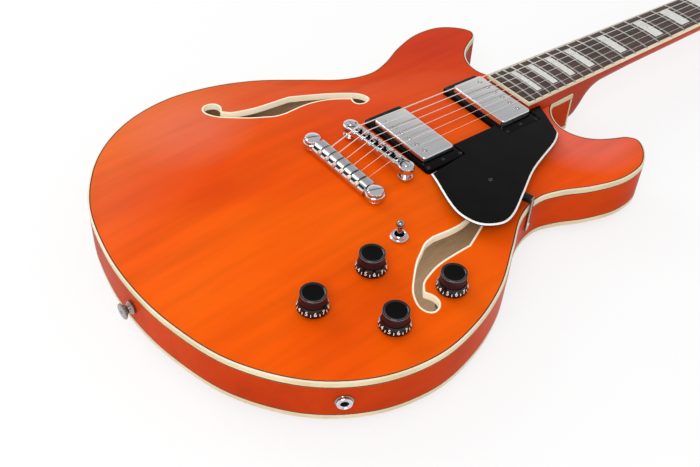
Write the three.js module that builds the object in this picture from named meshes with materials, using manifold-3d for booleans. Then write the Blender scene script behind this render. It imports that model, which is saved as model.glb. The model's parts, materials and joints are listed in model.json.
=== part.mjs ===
// A semi-hollow electric guitar that lies on its back, in millimetres.
// While it is built, x = 0 is its middle with the treble side at +X, y = 0 is the line
// of the bridge saddles with the neck towards +Y, and z = 0 is the flat of the back.
import * as THREE from 'three';
import { mergeVertices } from 'three/addons/utils/BufferGeometryUtils.js';
import Module from 'manifold-3d';

const wasm = await Module();
wasm.setup();

// Fits
const gap = 0.3;
const sharpestTurnShare = 0.5;
const overrun = 2;
const skyRise = 40;

// Strings and scale
const scaleLength = 628;
const fretCount = 22;
const nutWidth = 43;
const lastFretWidth = 57;
const boardRadius = 305;
const boardPastLastFret = 8.8;
const boardEndRise = 19.2;
const neckPitch = 2.7;
const stringSpread = 52;
const nutSpread = 36;
const stringWidths = [1.17, 0.91, 0.66, 0.43, 0.33, 0.25];
const actionAtNut = 1.4;
const actionAtSaddle = 4.6;

// Body
const bodyWidth = 399;
const tailReach = 254.5;
const boardOverBody = 68.6;
const tongueWidth = 57;
const sideDepth = 44.5;
const topArch = 13;
const backArch = 12;
const backCrown = 15.5;
const topCrownY = -40;
const backCrownY = 12;
const archTailY = -250;
const archNeckY = 185;
const archLowerHalf = 192;
const archWaistHalf = 118;
const archUpperHalf = 140;
const archLowerY = -80;
const archWaistY = 90;
const archUpperY = 190;
const archSquareness = 2.3;
const archFullness = 1.15;
const plateThickness = 6;
const rimWall = 3.2;
const liningWidth = 5;
const liningHeight = 7;
const bindingWidth = 2.2;
const blockHalfWidth = 52;
const blockTailRoom = 16.5;
const blockShoulderShare = 0.712;

// Sound holes
const fHoleLength = 145;
const fHoleWideShare = 0.6015;
const fHoleY = -14;
const fHoleBinding = 1.5;

// Neck and headstock
const boardThickness = 5.5;
const boardBinding = 1.8;
const fretHeight = 1.1;
const fretWidth = 2.4;
const fretSink = 0.25;
const neckDepthAtNut = 20.5;
const neckDepthAtHeel = 26;
const neckSquareness = 2.3;
const heelSquareness = 4;
const neckCorners = 12;
const heelFoot = 9;
const heelRise = 38;
const tenonHalfWidth = 15;
const tenonLength = 42;
const tenonDrop = 8;
const tenonHeight = 26;
const nutThickness = 4.5;
const nutRise = 3.2;
const nutSlot = 1.9;
const headLength = 172;
const headHalfWidth = 41;
const headThickness = 13;
const rodRadius = 3;
const rodDepth = 4.4;
const rodHeelInset = 14;
const rodHeadReach = 5.5;
const coverLength = 38;
const coverHalfWidth = 10;
const coverThickness = 2;
const coverStart = 3.5;

// Tuners
const tunerX = 26;
const tunerFirstY = 45;
const tunerPitch = 43;
const housingHalfX = 8;
const housingHalfY = 8;
const housingDepth = 9;
const postRadius = 3.2;
const postRise = 17;
const postSink = 6;
const sleeveWall = 1.1;
const ferruleRadius = 6.5;
const ferruleHeight = 2;
const keyShaftRadius = 2.2;
const keyShaftReach = 12;
const keyBoreDepth = 3.9;
const buttonHalfY = 7;
const buttonHalfZ = 8.5;
const buttonThickness = 7;
const woundHeight = 3.4;
const woundRise = 5;
const woundWall = 1.2;

// Pickups, rings and guard
const coverX = 70.3;
const coverY = 37.4;
const coverCorner = 3.2;
const coverBevel = 1.6;
const pickupDepth = 20;
const bridgePickupY = 43.5;
const bridgePickupRise = 20.6;
const neckPickupRise = 16.8;
const ringX = 91;
const ringY = 45;
const ringCorner = 3.5;
const bridgeRingRise = 15.2;
const neckRingRise = 9.8;
const poleRadius = 2.4;
const poleRise = 0.6;
const poleInset = 9;
const cavityDepth = 18;
const guardThickness = 2.6;
const guardRise = 16.8;
const guardRiseY = 18;
const guardX = 133;
const guardLowY = 4.7;
const guardPastBoardEnd = 15.8;
const bracketWidth = 11;
const bracketThickness = 1.6;
const bracketArm = 24;
const bracketDrop = 27;
const bracketY = 71;
const bracketBlock = 12;

// Bridge and tailpiece
const bridgePostX = 37;
const bridgePostSkew = 1.5;
const bridgePostRadius = 3.4;
const bridgePostRise = 27.9;
const bridgePostSink = 16;
const columnRadius = 4;
const wheelRadius = 6.8;
const wheelThickness = 3;
const wheelRise = 12.8;
const bridgeLobe = 7.4;
const bridgeHalfY = 6;
const bridgeBottomRise = 20;
const bridgeTopRise = 27.2;
const saddleX = 7.6;
const saddleY = 3.2;
const saddleSlant = 0.055;
const tailStudX = 44.2;
const tailStudY = -39.7;
const tailStudRoom = 0.6;
const tailBarHalfY = 7.5;
const tailBarBottomRise = 14.4;
const tailBarTopRise = 24.4;
const tailLugRadius = 8.6;
const tailLugBottomRise = 16;
const tailLugTopRise = 21;
const tailLugWaistShare = 0.75;
const tailSlot = 2;
const tailSlotRise = 21.6;
const ballRadius = 1.9;
const ballLength = 3;
const studNeckRadius = 4;
const studHeadRadius = 7.6;
const studHeadHeight = 3.6;
const studFlatShare = 0.75;
const studCollarHeight = 2;
const studSink = 16;

// Controls
const knobSkirtRadius = 13.2;
const knobTopRadius = 10.8;
const knobHeight = 16.6;
const knobEdge = 1;
const knobLift = 0.9;
const knobHollowRadius = 8.4;
const knobHollowHeight = 6;
const shaftRadius = 3;
const shaftSink = 11;
const potRadius = 12;
const potHeight = 9;
const potDrop = 3;
const bushingRadius = 4.7;
const bushingWall = 1.2;
const potNutRadius = 6.6;
const potNutHeight = 2.2;
const wireRadius = 1;
const wireDrop = 4;
const toggleX = 89.7;
const toggleY = -50.7;
const toggleNutRadius = 7.8;
const toggleNutHeight = 3.4;
const toggleBushingRadius = 5.8;
const toggleBore = 4.3;
const toggleBoxX = 14;
const toggleBoxY = 30;
const toggleBoxZ = 20;
const leverRadius = 2.1;
const leverTip = 3.6;
const leverLength = 17.5;
const leverSink = 3;
const jackPlaceShare = 0.5657;
const jackRise = -22;
const jackBore = 3.25;
const jackBarrel = 5.2;
const jackNutRadius = 8.4;
const jackNutHeight = 2.6;
const jackReach = 24;
const jackFrame = 9;
const buttonNeck = 3.6;
const buttonFoot = 6;
const buttonEnd = 7.2;
const strapLength = 10.5;
const strapFlange = 2.2;
const tailButtonRise = -22;
const heelButtonRise = -19;
const heelButtonReach = 9.5;

// Half of the body's outline from the tail to the neck joint, as shares of its half width
// and of its reach on that side of the saddle line.
const bodyShares = [
  [0, -1], [0.261, -0.982], [0.541, -0.919], [0.787, -0.786], [0.942, -0.609],
  [1, -0.409], [0.967, -0.22], [0.88, -0.047], [0.752, 0.114], [0.639, 0.254],
  [0.596, 0.381], [0.624, 0.487], [0.687, 0.602], [0.732, 0.737], [0.722, 0.86],
  [0.662, 0.941], [0.586, 0.981], [0.531, 0.958], [0.499, 0.907], [0.461, 0.852],
  [0.411, 0.811], [0.351, 0.788], [0.286, 0.784], [0.226, 0.801], [0.173, 0.835],
];
// The tongue of the body runs beside the neck, from these shares of the reach to its end.
const tongueShares = [0.875, 0.91, 1];

// Sections of the neck's shaft, as shares of the way from the heel to the nut.
const shaftShares = [0.2, 0.5, 0.8, 1];

// Places of the two knobs of the bridge pickup and the two of the neck pickup, as shares of
// the body's half width and of its reach to the tail.
const knobPlaceShares = [[0.5163, -0.3615], [0.5363, -0.6051], [0.7895, -0.444], [0.7769, -0.198]];

// The lower, middle and upper edge of a ball with four flats from pole to pole, in radii.
const ballShares = [[0.707, -0.707], [1, 0], [0.707, 0.707]];

// A sound hole on the treble side, as four runs between its corners, in shares of its length.
const fHoleRunShares = [
  [[0.179, -0.393], [0.131, -0.352], [0.1, -0.276], [0.078, -0.19], [0.068, -0.076], [0.062, 0.066]],
  [[0.062, 0.066], [0.001, 0.199], [-0.072, 0.342], [-0.159, 0.461], [-0.228, 0.497],
    [-0.287, 0.486], [-0.312, 0.428], [-0.297, 0.383], [-0.259, 0.37], [-0.212, 0.384]],
  [[-0.212, 0.384], [-0.145, 0.284], [-0.109, 0.179], [-0.099, 0.069], [-0.11, -0.076]],
  [[-0.11, -0.076], [-0.097, -0.152], [-0.062, -0.214], [-0.007, -0.301], [0.097, -0.417],
    [0.159, -0.466], [0.23, -0.492], [0.286, -0.481], [0.315, -0.445], [0.308, -0.399],
    [0.278, -0.369], [0.228, -0.366], [0.179, -0.393]],
];

// The guard's free edge from the bridge pickup round to the neck, as shares of its reach
// from the middle and of its length above its lowest point.
const guardShares = [
  [0.37, 0.092], [0.46, 0.07], [0.635, 0.022], [0.765, 0], [0.879, 0.013], [0.953, 0.054],
  [1, 0.137], [0.971, 0.232], [0.864, 0.378], [0.72, 0.571], [0.598, 0.817], [0.526, 0.905],
];

// Half of the headstock's outline, as shares of its half width and of its length.
const headShares = [
  [0.56, 0.06], [0.72, 0.13], [0.88, 0.2], [0.93, 0.3], [0.95, 0.52], [0.98, 0.78],
  [1, 0.9], [0.9, 0.975], [0.66, 1], [0.42, 0.965], [0.2, 0.945],
];

// Heel profile behind the body: shares of the way forward and of the drop that is left.
const heelShares = [[0, 1], [0.24, 0.985], [0.38, 0.8], [0.54, 0.46], [0.74, 0.2], [1, 0.06]];

const rimTop = backArch + sideDepth;
const halfBody = bodyWidth / 2;
const halfTongue = tongueWidth / 2;
const knobPlaces = knobPlaceShares.map(([shareX, shareY]) => [shareX * halfBody, shareY * tailReach]);
const fHoleX = fHoleWideShare * halfBody;
const pitchSlope = Math.tan(THREE.MathUtils.degToRad(neckPitch));
const pickupLean = pitchSlope * pickupDepth;
const lastFret = scaleLength * Math.pow(2, -fretCount / 12);
const boardEnd = lastFret - boardPastLastFret;
const neckReach = boardEnd + boardOverBody;
const blockShoulderY = blockShoulderShare * neckReach;
const blockTailY = blockTailRoom - tailReach;
const guardLength = boardEnd + guardPastBoardEnd - guardLowY;
const rodHeelY = neckReach + rodHeelInset;
const neckPickupY = boardEnd - gap - ringY / 2;
const nutBack = scaleLength + nutThickness;
const circleSteps = 16;
const smallSteps = 10;
const tinySteps = 6;

// Materials
function finish(color, roughness, metalness = 0) {
  return new THREE.MeshStandardMaterial({ color, roughness, metalness });
}
const orangeTop = finish(0xf05a10, 0.35);
const redSide = finish(0xb83a1c, 0.35);
const redNeck = finish(0x9c2b17, 0.4);
const cream = finish(0xf3e3c3, 0.4);
const rawWood = finish(0xc8a878, 0.7);
const darkWood = finish(0x3a2620, 0.6);
const chrome = finish(0xd8d8dc, 0.15, 1);
const nickel = finish(0xb8b8bc, 0.25, 1);
const black = finish(0x101010, 0.25);
const boneWhite = finish(0xe8e2d0, 0.45);
const steel = finish(0xc0c2c4, 0.3, 1);
const bareMetal = finish(0x9a9a96, 0.45, 0.8);

// A closed body from points and faces, turned right way out by its volume.
function closedBody(points, faces) {
  const at = (index) => new THREE.Vector3(...points[index]);
  let volume = 0;
  for (const [a, b, c] of faces) volume += at(a).dot(at(b).cross(at(c)));
  const turned = volume < 0 ? faces.map(([a, b, c]) => [a, c, b]) : faces;
  const geometry = new THREE.BufferGeometry();
  geometry.setAttribute('position', new THREE.Float32BufferAttribute(points.flat(), 3));
  geometry.setIndex(turned.flat());
  return geometry;
}

function toSolid(geometry) {
  const bare = geometry.clone();
  bare.deleteAttribute('normal');
  bare.deleteAttribute('uv');
  const merged = mergeVertices(bare);
  const vertProperties = new Float32Array(merged.attributes.position.array);
  const triVerts = new Uint32Array(merged.index.array);
  return new wasm.Manifold(new wasm.Mesh({ numProp: 3, vertProperties, triVerts }));
}

function toGeometry(solid) {
  const mesh = solid.getMesh();
  const geometry = new THREE.BufferGeometry();
  geometry.setAttribute('position', new THREE.BufferAttribute(mesh.vertProperties, 3));
  geometry.setIndex(new THREE.BufferAttribute(mesh.triVerts, 1));
  return geometry;
}

function cut(geometry, tools) {
  let solid = toSolid(geometry);
  for (const tool of tools) solid = solid.subtract(toSolid(tool));
  return toGeometry(solid);
}

function join(geometries) {
  let solid = toSolid(geometries[0]);
  for (const other of geometries.slice(1)) solid = solid.add(toSolid(other));
  return toGeometry(solid);
}

function common(geometry, other) {
  return toGeometry(toSolid(geometry).intersect(toSolid(other)));
}

// A grid of cells between two height functions, wide by a function of y.
function slab({ from, to, halfWidth, middle = () => 0, top, bottom, columns = 1, rows = 1 }) {
  const points = [];
  const across = columns + 1;
  for (const level of [bottom, top]) {
    for (let row = 0; row <= rows; row++) {
      const y = THREE.MathUtils.lerp(from, to, row / rows);
      for (let column = 0; column <= columns; column++) {
        const x = middle(y) + halfWidth(y) * (2 * column / columns - 1);
        points.push([x, y, level(x, y)]);
      }
    }
  }
  const layer = across * (rows + 1);
  const index = (row, column, up) => up * layer + row * across + column;
  const faces = [];
  const quad = (a, b, c, d) => faces.push([a, b, c], [a, c, d]);
  for (let row = 0; row < rows; row++) {
    for (let column = 0; column < columns; column++) {
      quad(index(row, column, 1), index(row, column + 1, 1),
        index(row + 1, column + 1, 1), index(row + 1, column, 1));
      quad(index(row, column, 0), index(row + 1, column, 0),
        index(row + 1, column + 1, 0), index(row, column + 1, 0));
    }
    quad(index(row, 0, 0), index(row, 0, 1), index(row + 1, 0, 1), index(row + 1, 0, 0));
    quad(index(row, columns, 0), index(row + 1, columns, 0),
      index(row + 1, columns, 1), index(row, columns, 1));
  }
  for (let column = 0; column < columns; column++) {
    quad(index(0, column, 0), index(0, column + 1, 0), index(0, column + 1, 1), index(0, column, 1));
    quad(index(rows, column, 0), index(rows, column, 1),
      index(rows, column + 1, 1), index(rows, column + 1, 0));
  }
  return closedBody(points, faces);
}

// Rings of points joined one to the next, closed by a fan at each end.
function loft(rings) {
  const count = rings[0].length;
  const points = rings.flat();
  const faces = [];
  for (let ring = 0; ring + 1 < rings.length; ring++) {
    for (let side = 0; side < count; side++) {
      const a = ring * count + side;
      const b = ring * count + (side + 1) % count;
      faces.push([a, b, b + count], [a, b + count, a + count]);
    }
  }
  const last = (rings.length - 1) * count;
  for (let side = 1; side + 1 < count; side++) {
    faces.push([0, side + 1, side], [last, last + side, last + side + 1]);
  }
  return closedBody(points, faces);
}

// A round bar through points, with one radius for each point.
function bar(route, radii, sides) {
  const path = route.map((point) => new THREE.Vector3(...point));
  const rings = path.map((point, place) => {
    const before = path[Math.max(place - 1, 0)];
    const after = path[Math.min(place + 1, path.length - 1)];
    const along = after.clone().sub(before).normalize();
    const across = new THREE.Vector3(0, 0, 1).cross(along).normalize();
    const up = along.clone().cross(across);
    const ring = [];
    for (let side = 0; side < sides; side++) {
      const turn = 2 * Math.PI * side / sides;
      const spot = point.clone().addScaledVector(across, radii[place] * Math.cos(turn));
      spot.addScaledVector(up, radii[place] * Math.sin(turn));
      ring.push(spot.toArray());
    }
    return ring;
  });
  return loft(rings);
}

// A loop of 2D points moved inwards by a distance. The loop runs anticlockwise.
function inset(loop, distance) {
  return loop.map((point, place) => {
    const before = loop[(place + loop.length - 1) % loop.length];
    const after = loop[(place + 1) % loop.length];
    const first = point.clone().sub(before).normalize();
    const second = after.clone().sub(point).normalize();
    const sum = new THREE.Vector2(-first.y - second.y, first.x + second.x);
    const stretch = Math.max(1 + first.dot(second), sharpestTurnShare);
    return point.clone().addScaledVector(sum, distance / stretch);
  });
}

// A profile of [inset, height] points carried round a loop.
function sweptLoop(loop, profile) {
  const rows = profile.map(([distance, height]) =>
    inset(loop, distance).map((point) => [point.x, point.y, height]));
  const points = rows.flat();
  const faces = [];
  for (let row = 0; row < rows.length; row++) {
    const next = (row + 1) % rows.length;
    for (let place = 0; place < loop.length; place++) {
      const after = (place + 1) % loop.length;
      const [a, b] = [row * loop.length + place, row * loop.length + after];
      const [c, d] = [next * loop.length + after, next * loop.length + place];
      faces.push([a, b, c], [a, c, d]);
    }
  }
  return closedBody(points, faces);
}

function prism(loop, bottom, top, holes = []) {
  const shape = new THREE.Shape(loop);
  for (const hole of holes) shape.holes.push(new THREE.Path(hole));
  const geometry = new THREE.ExtrudeGeometry(shape, { depth: top - bottom, bevelEnabled: false });
  return geometry.translate(0, 0, bottom);
}

// A flat shape whose two faces follow height functions.
function draped(loop, holes, bottom, top) {
  const geometry = prism(loop, 0, 1, holes);
  const spots = geometry.attributes.position;
  for (let place = 0; place < spots.count; place++) {
    const [x, y, level] = [spots.getX(place), spots.getY(place), spots.getZ(place)];
    spots.setZ(place, level > 0 ? top(x, y) : bottom(x, y));
  }
  return geometry;
}

// A rectangle with round corners, its edges cut into steps so that it can be draped.
function roundedLoop(width, length, corner, edgeSteps = 1, cornerSteps = 3, x = 0, y = 0) {
  const loop = [];
  const signs = [[1, -1], [1, 1], [-1, 1], [-1, -1]];
  signs.forEach(([signX, signY], quarter) => {
    const centre = new THREE.Vector2(signX * (width / 2 - corner), signY * (length / 2 - corner));
    for (let step = 0; step <= cornerSteps; step++) {
      const turn = (quarter - 1 + step / cornerSteps) * Math.PI / 2;
      loop.push(new THREE.Vector2(corner * Math.cos(turn), corner * Math.sin(turn)).add(centre));
    }
    const [nextX, nextY] = signs[(quarter + 1) % signs.length];
    const turn = quarter * Math.PI / 2;
    const end = new THREE.Vector2(
      nextX * (width / 2 - corner) + corner * Math.cos(turn),
      nextY * (length / 2 - corner) + corner * Math.sin(turn));
    const start = loop[loop.length - 1];
    for (let step = 1; step < edgeSteps; step++) loop.push(start.clone().lerp(end, step / edgeSteps));
  });
  return loop.map((point) => point.add(new THREE.Vector2(x, y)));
}

function circleLoop(radius, x, y, steps = circleSteps) {
  const loop = [];
  for (let step = 0; step < steps; step++) {
    const turn = 2 * Math.PI * step / steps;
    loop.push(new THREE.Vector2(x + radius * Math.cos(turn), y + radius * Math.sin(turn)));
  }
  return loop;
}

// A turned piece about the z axis from [radius, height] points.
function turned(profile, steps = circleSteps) {
  const points = profile.map(([radius, height]) => new THREE.Vector2(radius, height));
  return new THREE.LatheGeometry(points, steps).rotateX(Math.PI / 2);
}

function rod(radius, x, y, bottom, top, steps = circleSteps) {
  return prism(circleLoop(radius, x, y, steps), bottom, top);
}

function block(xLow, xHigh, yLow, yHigh, zLow, zHigh) {
  const geometry = new THREE.BoxGeometry(xHigh - xLow, yHigh - yLow, zHigh - zLow);
  return geometry.translate((xLow + xHigh) / 2, (yLow + yHigh) / 2, (zLow + zHigh) / 2);
}

const guitar = new THREE.Group();
function addPiece(name, geometry, material, parent = guitar) {
  const mesh = new THREE.Mesh(geometry, material);
  mesh.name = name;
  parent.add(mesh);
  return mesh;
}

// Curved plates
function archHalf(y) {
  const toWaist = THREE.MathUtils.smoothstep(y, archLowerY, archWaistY);
  const toShoulder = THREE.MathUtils.smoothstep(y, archWaistY, archUpperY);
  return archLowerHalf + (archWaistHalf - archLowerHalf) * toWaist
    + (archUpperHalf - archWaistHalf) * toShoulder;
}
function archShare(x, y, crownY) {
  const reach = y < crownY ? crownY - archTailY : archNeckY - crownY;
  const across = Math.pow(Math.abs(x) / archHalf(y), archSquareness);
  const along = Math.pow(Math.abs(y - crownY) / reach, archSquareness);
  const radius = Math.pow(across + along, 1 / archSquareness);
  return Math.pow(Math.max(0, 1 - radius * radius), archFullness);
}
const outside = {
  from: -tailReach - overrun, to: neckReach + overrun, halfWidth: () => halfBody + overrun,
  columns: 14, rows: 18,
};
// The height of the flat facets that a slab of these cells gives the curved function.
function onFacets(height, { from, to, halfWidth, columns, rows }) {
  const half = halfWidth();
  const rowY = (row) => THREE.MathUtils.lerp(from, to, row / rows);
  const spot = (column, row) => [half * (2 * column / columns - 1), rowY(row)];
  return (x, y) => {
    const across = (x / half + 1) / 2 * columns;
    const along = (y - from) / (to - from) * rows;
    const column = THREE.MathUtils.clamp(Math.floor(across), 0, columns - 1);
    const row = THREE.MathUtils.clamp(Math.floor(along), 0, rows - 1);
    const [u, v] = [across - column, along - row];
    const low = height(...spot(column, row));
    const high = height(...spot(column + 1, row + 1));
    const corner = u > v ? height(...spot(column + 1, row)) : height(...spot(column, row + 1));
    return low + (corner - low) * Math.max(u, v) + (high - corner) * Math.min(u, v);
  };
}
const topCurve = (x, y) => rimTop + topArch * archShare(x, y, topCrownY);
const backCurve = (x, y) => backArch - Math.min(backArch, backCrown * archShare(x, y, backCrownY));
const topZ = onFacets(topCurve, outside);
const backZ = onFacets(backCurve, outside);
const topSeat = slab({ ...outside, top: (x, y) => topCurve(x, y) + gap, bottom: () => 0 });
const roofSeat = slab({
  ...outside, top: () => 2 * rimTop, bottom: (x, y) => topCurve(x, y) - plateThickness - gap,
});
const floorSeat = slab({
  ...outside, top: (x, y) => backCurve(x, y) + plateThickness + gap, bottom: () => -rimTop,
});

// The highest point of the top under a round foot.
function highestTop(x, y, radius) {
  return Math.max(...circleLoop(radius, x, y).map((point) => topZ(point.x, point.y)), topZ(x, y));
}
function lowestTop(x, y, radius) {
  return Math.min(...circleLoop(radius, x, y).map((point) => topZ(point.x, point.y)));
}

// Outline of the body
const bodyHalf = bodyShares.map(([shareX, shareY]) =>
  new THREE.Vector2(shareX * halfBody, shareY * (shareY < 0 ? tailReach : neckReach)));
for (const share of tongueShares) bodyHalf.push(new THREE.Vector2(halfTongue, share * neckReach));
const mirrorPoint = (point) => new THREE.Vector2(-point.x, point.y);
const bodyCurve = new THREE.SplineCurve([...bodyHalf.slice(1).reverse().map(mirrorPoint), ...bodyHalf]);
const stepsPerShare = 2;
const rimLine = bodyCurve.getPoints((2 * bodyHalf.length - 2) * stepsPerShare);

function fHoleLoop(side, growth = 0) {
  const loop = [];
  for (const run of fHoleRunShares) {
    const curve = new THREE.SplineCurve(run.map(([shareX, shareY]) =>
      new THREE.Vector2(fHoleX + shareX * fHoleLength, fHoleY + shareY * fHoleLength)));
    loop.push(...curve.getPoints(run.length - 1).slice(0, -1));
  }
  const placed = side > 0 ? loop : loop.map(mirrorPoint).reverse();
  return inset(placed, -growth);
}

// Board and strings
const boardTop = (y) => rimTop + boardEndRise - pitchSlope * (y - boardEnd);
const boardHalf = (y) =>
  (nutWidth + (lastFretWidth - nutWidth) * (scaleLength - y) / (scaleLength - lastFret)) / 2;
const boardSurface = (x, y) => boardTop(y) - x * x / (2 * boardRadius);
const neckTop = (y) => boardTop(y) - boardThickness;
const stringX = (string, spread) => spread * (string / (stringWidths.length - 1) - 1 / 2);
const saddleLine = (string) => saddleSlant * stringX(string, stringSpread);
const saddleHeight = (string) =>
  boardSurface(stringX(string, stringSpread), 0) + actionAtSaddle;

// Headstock frame: its face starts at the back of the nut and leans back until the tuner
// buttons just clear the plane that the body rests on.
const faceStart = neckTop(nutBack);
const lastTunerY = tunerFirstY + 2 * tunerPitch;
const tunerDrop = headThickness + gap + housingDepth / 2 + buttonHalfZ;
const headTilt = Math.asin((faceStart - gap) / Math.hypot(lastTunerY + buttonHalfY, tunerDrop))
  - Math.atan2(tunerDrop, lastTunerY + buttonHalfY);
const headFrame = new THREE.Group();
headFrame.position.set(0, nutBack, faceStart);
headFrame.rotation.x = -headTilt;
headFrame.updateMatrixWorld(true);
guitar.add(headFrame);
const fromHead = (x, y, z) => headFrame.localToWorld(new THREE.Vector3(x, y, z)).toArray();
const tunerSpots = [];
for (const side of [-1, 1]) {
  for (let place = 0; place < stringWidths.length / 2; place++) {
    tunerSpots.push([side, side * tunerX, tunerFirstY + place * tunerPitch]);
  }
}

// Jack and pot places
const jackPoint = bodyCurve.getPoint(jackPlaceShare);
const jackTangent = bodyCurve.getTangent(jackPlaceShare);
const jackTurn = Math.atan2(-jackTangent.x, jackTangent.y);
function placedOnSide(geometry) {
  geometry.rotateY(Math.PI / 2).rotateZ(jackTurn);
  return geometry.translate(jackPoint.x, jackPoint.y, rimTop + jackRise);
}

// Body shell
const plateInset = bindingWidth + gap;
const plateLoop = inset(rimLine, plateInset);
const studHole = studNeckRadius + gap;
const postHole = bridgePostRadius + gap;
const pickupPlaces = [['bridge', bridgePickupY], ['neck', neckPickupY]];
const cavityRoom = 3 * gap + pickupLean;
const cavityLoop = (y, growth) =>
  roundedLoop(coverX + 2 * growth, coverY + 2 * growth, coverCorner + growth, 1, 3, 0, y);
function hardwareHoles(bottom, top) {
  const holes = [];
  for (const side of [-1, 1]) {
    holes.push(rod(studHole, side * tailStudX, tailStudY, bottom, top, smallSteps));
    holes.push(rod(postHole, side * bridgePostX, side * bridgePostSkew, bottom, top, smallSteps));
  }
  return holes;
}

const topSlab = slab({ ...outside, top: topCurve, bottom: (x, y) => topCurve(x, y) - plateThickness });
const skyZ = rimTop + skyRise;
const topPlate = cut(common(topSlab, prism(plateLoop, 0, skyZ)), [
  ...[-1, 1].map((side) => prism(fHoleLoop(side, gap), 0, skyZ)),
  ...pickupPlaces.map(([, y]) => prism(cavityLoop(y, cavityRoom), 0, skyZ)),
  ...knobPlaces.map(([x, y]) => rod(bushingRadius + gap, x, y, 0, skyZ, smallSteps)),
  rod(toggleBushingRadius + gap, toggleX, toggleY, 0, skyZ, smallSteps),
  ...hardwareHoles(0, skyZ),
]);
addPiece('top_plate', topPlate, orangeTop);

const backSlab = slab({ ...outside, top: (x, y) => backCurve(x, y) + plateThickness, bottom: backCurve });
addPiece('back_plate', common(backSlab, prism(plateLoop, -overrun, rimTop)), redSide);

for (const [name, side] of [['bass', -1], ['treble', 1]]) {
  const loop = fHoleLoop(side);
  const inner = inset(loop, fHoleBinding);
  const ring = draped(loop, [inner], (x, y) => topZ(x, y) - plateThickness, topZ);
  addPiece(`${name}_f_hole_binding`, ring, cream);
}

// Rim with its linings, open at the neck joint for the tenon and at the jack
const rimHigh = rimTop - plateThickness - gap;
const rimLow = backArch + plateThickness + gap;
const liningInset = rimWall + liningWidth;
const rimProfile = [
  [0, rimLow], [0, rimHigh], [liningInset, rimHigh], [liningInset, rimHigh - liningHeight],
  [rimWall, rimHigh - liningHeight - liningWidth], [rimWall, rimLow + liningHeight + liningWidth],
  [liningInset, rimLow + liningHeight], [liningInset, rimLow],
];
const tenonTop = rimTop - tenonDrop;
const tenonBox = (growth) => block(-tenonHalfWidth - growth, tenonHalfWidth + growth,
  neckReach - tenonLength - growth, neckReach + overrun,
  tenonTop - tenonHeight - growth, tenonTop + growth);
const cornerPost = (side, growth, bottom, top) => {
  const inner = halfTongue - bindingWidth - growth;
  const outer = growth > 0 ? halfTongue + overrun : halfTongue;
  const span = side > 0 ? [inner, outer] : [-outer, -inner];
  const farEnd = growth > 0 ? neckReach + overrun : neckReach;
  return block(...span, neckReach - bindingWidth - growth, farEnd, bottom, top);
};
const jackHole = placedOnSide(turned([
  [0, -liningInset - 2 * overrun], [jackBarrel + gap, -liningInset - 2 * overrun],
  [jackBarrel + gap, overrun], [0, overrun],
]));
addPiece('rim', cut(sweptLoop(rimLine, rimProfile), [
  tenonBox(gap), jackHole,
  ...[-1, 1].map((side) => cornerPost(side, gap, 0, rimTop)),
]), redSide);

const bindingProfile = (low, high) => [[0, low], [0, high], [bindingWidth, high], [bindingWidth, low]];
addPiece('top_binding', join([
  sweptLoop(rimLine, bindingProfile(rimTop - plateThickness, rimTop)),
  ...[-1, 1].map((side) => cornerPost(side, 0, rimLow, rimTop)),
]), cream);
addPiece('back_binding', sweptLoop(rimLine, bindingProfile(backArch, backArch + plateThickness)), cream);

// Centre block between the plates
const tonguePostHalf = halfTongue - liningInset - 4 * gap;
const mainBlock = block(-blockHalfWidth, blockHalfWidth, blockTailY, blockShoulderY, 0, skyZ);
const tonguePost = block(-tonguePostHalf, tonguePostHalf, blockShoulderY - overrun,
  neckReach - liningInset - gap, 0, skyZ);
addPiece('centre_block', cut(join([mainBlock, tonguePost]), [
  roofSeat, floorSeat, tenonBox(gap),
  ...pickupPlaces.map(([, y]) =>
    prism(cavityLoop(y, cavityRoom), topZ(0, y) - plateThickness - cavityDepth, skyZ)),
  ...hardwareHoles(rimTop - studSink - overrun, skyZ),
]), rawWood);

// Neck with its heel, tenon, the wedge over the body and the headstock
function neckSection(y, depth, squareness) {
  const ring = [];
  for (let corner = 0; corner <= neckCorners; corner++) {
    const turn = Math.PI * corner / neckCorners;
    const across = Math.sign(Math.cos(turn)) * Math.pow(Math.abs(Math.cos(turn)), 2 / squareness);
    const down = Math.pow(Math.sin(turn), 2 / squareness);
    ring.push([boardHalf(y) * across, y, neckTop(y) - depth * down]);
  }
  return ring;
}
const heelStart = neckReach + gap;
const heelEnd = heelStart + heelFoot + heelRise;
const neckDepth = (y) => THREE.MathUtils.mapLinear(y, heelEnd, nutBack, neckDepthAtHeel, neckDepthAtNut)
  - boardThickness;
const heelSections = heelShares.map(([along, drop]) => {
  const y = heelStart + along * (heelEnd - heelStart);
  const extra = neckTop(y) - backArch - gap - neckDepth(y);
  const squareness = THREE.MathUtils.lerp(neckSquareness, heelSquareness, drop);
  return neckSection(y, neckDepth(y) + drop * extra, squareness);
});
const shaftSections = shaftShares.map((share) => {
  const y = THREE.MathUtils.lerp(heelEnd, nutBack, share);
  return neckSection(y, neckDepth(y), neckSquareness);
});
const neckWedge = cut(slab({
  from: boardEnd, to: heelStart + overrun, halfWidth: boardHalf,
  top: (x, y) => neckTop(y), bottom: () => rimTop,
}), [topSeat]);
const headHalf = [new THREE.Vector2(nutWidth / 2, 0), ...headShares.map(([shareX, shareY]) =>
  new THREE.Vector2(shareX * headHalfWidth, shareY * headLength))];
const headLoop = [...headHalf, ...headHalf.map(mirrorPoint).reverse()];
const sleeveRadius = postRadius + gap + sleeveWall;
const sleeveBores = tunerSpots.map(([, x, y]) =>
  rod(sleeveRadius + gap, x, y, -headThickness - overrun, overrun, smallSteps));
const head = cut(prism(headLoop, -headThickness, 0), sleeveBores);
head.applyMatrix4(headFrame.matrixWorld);
const rodChannel = slab({
  from: rodHeelY - gap, to: nutBack + rodHeadReach + gap, halfWidth: () => rodRadius + gap,
  top: (x, y) => neckTop(y) + overrun, bottom: (x, y) => neckTop(y) - rodDepth - rodRadius - gap,
});
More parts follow.
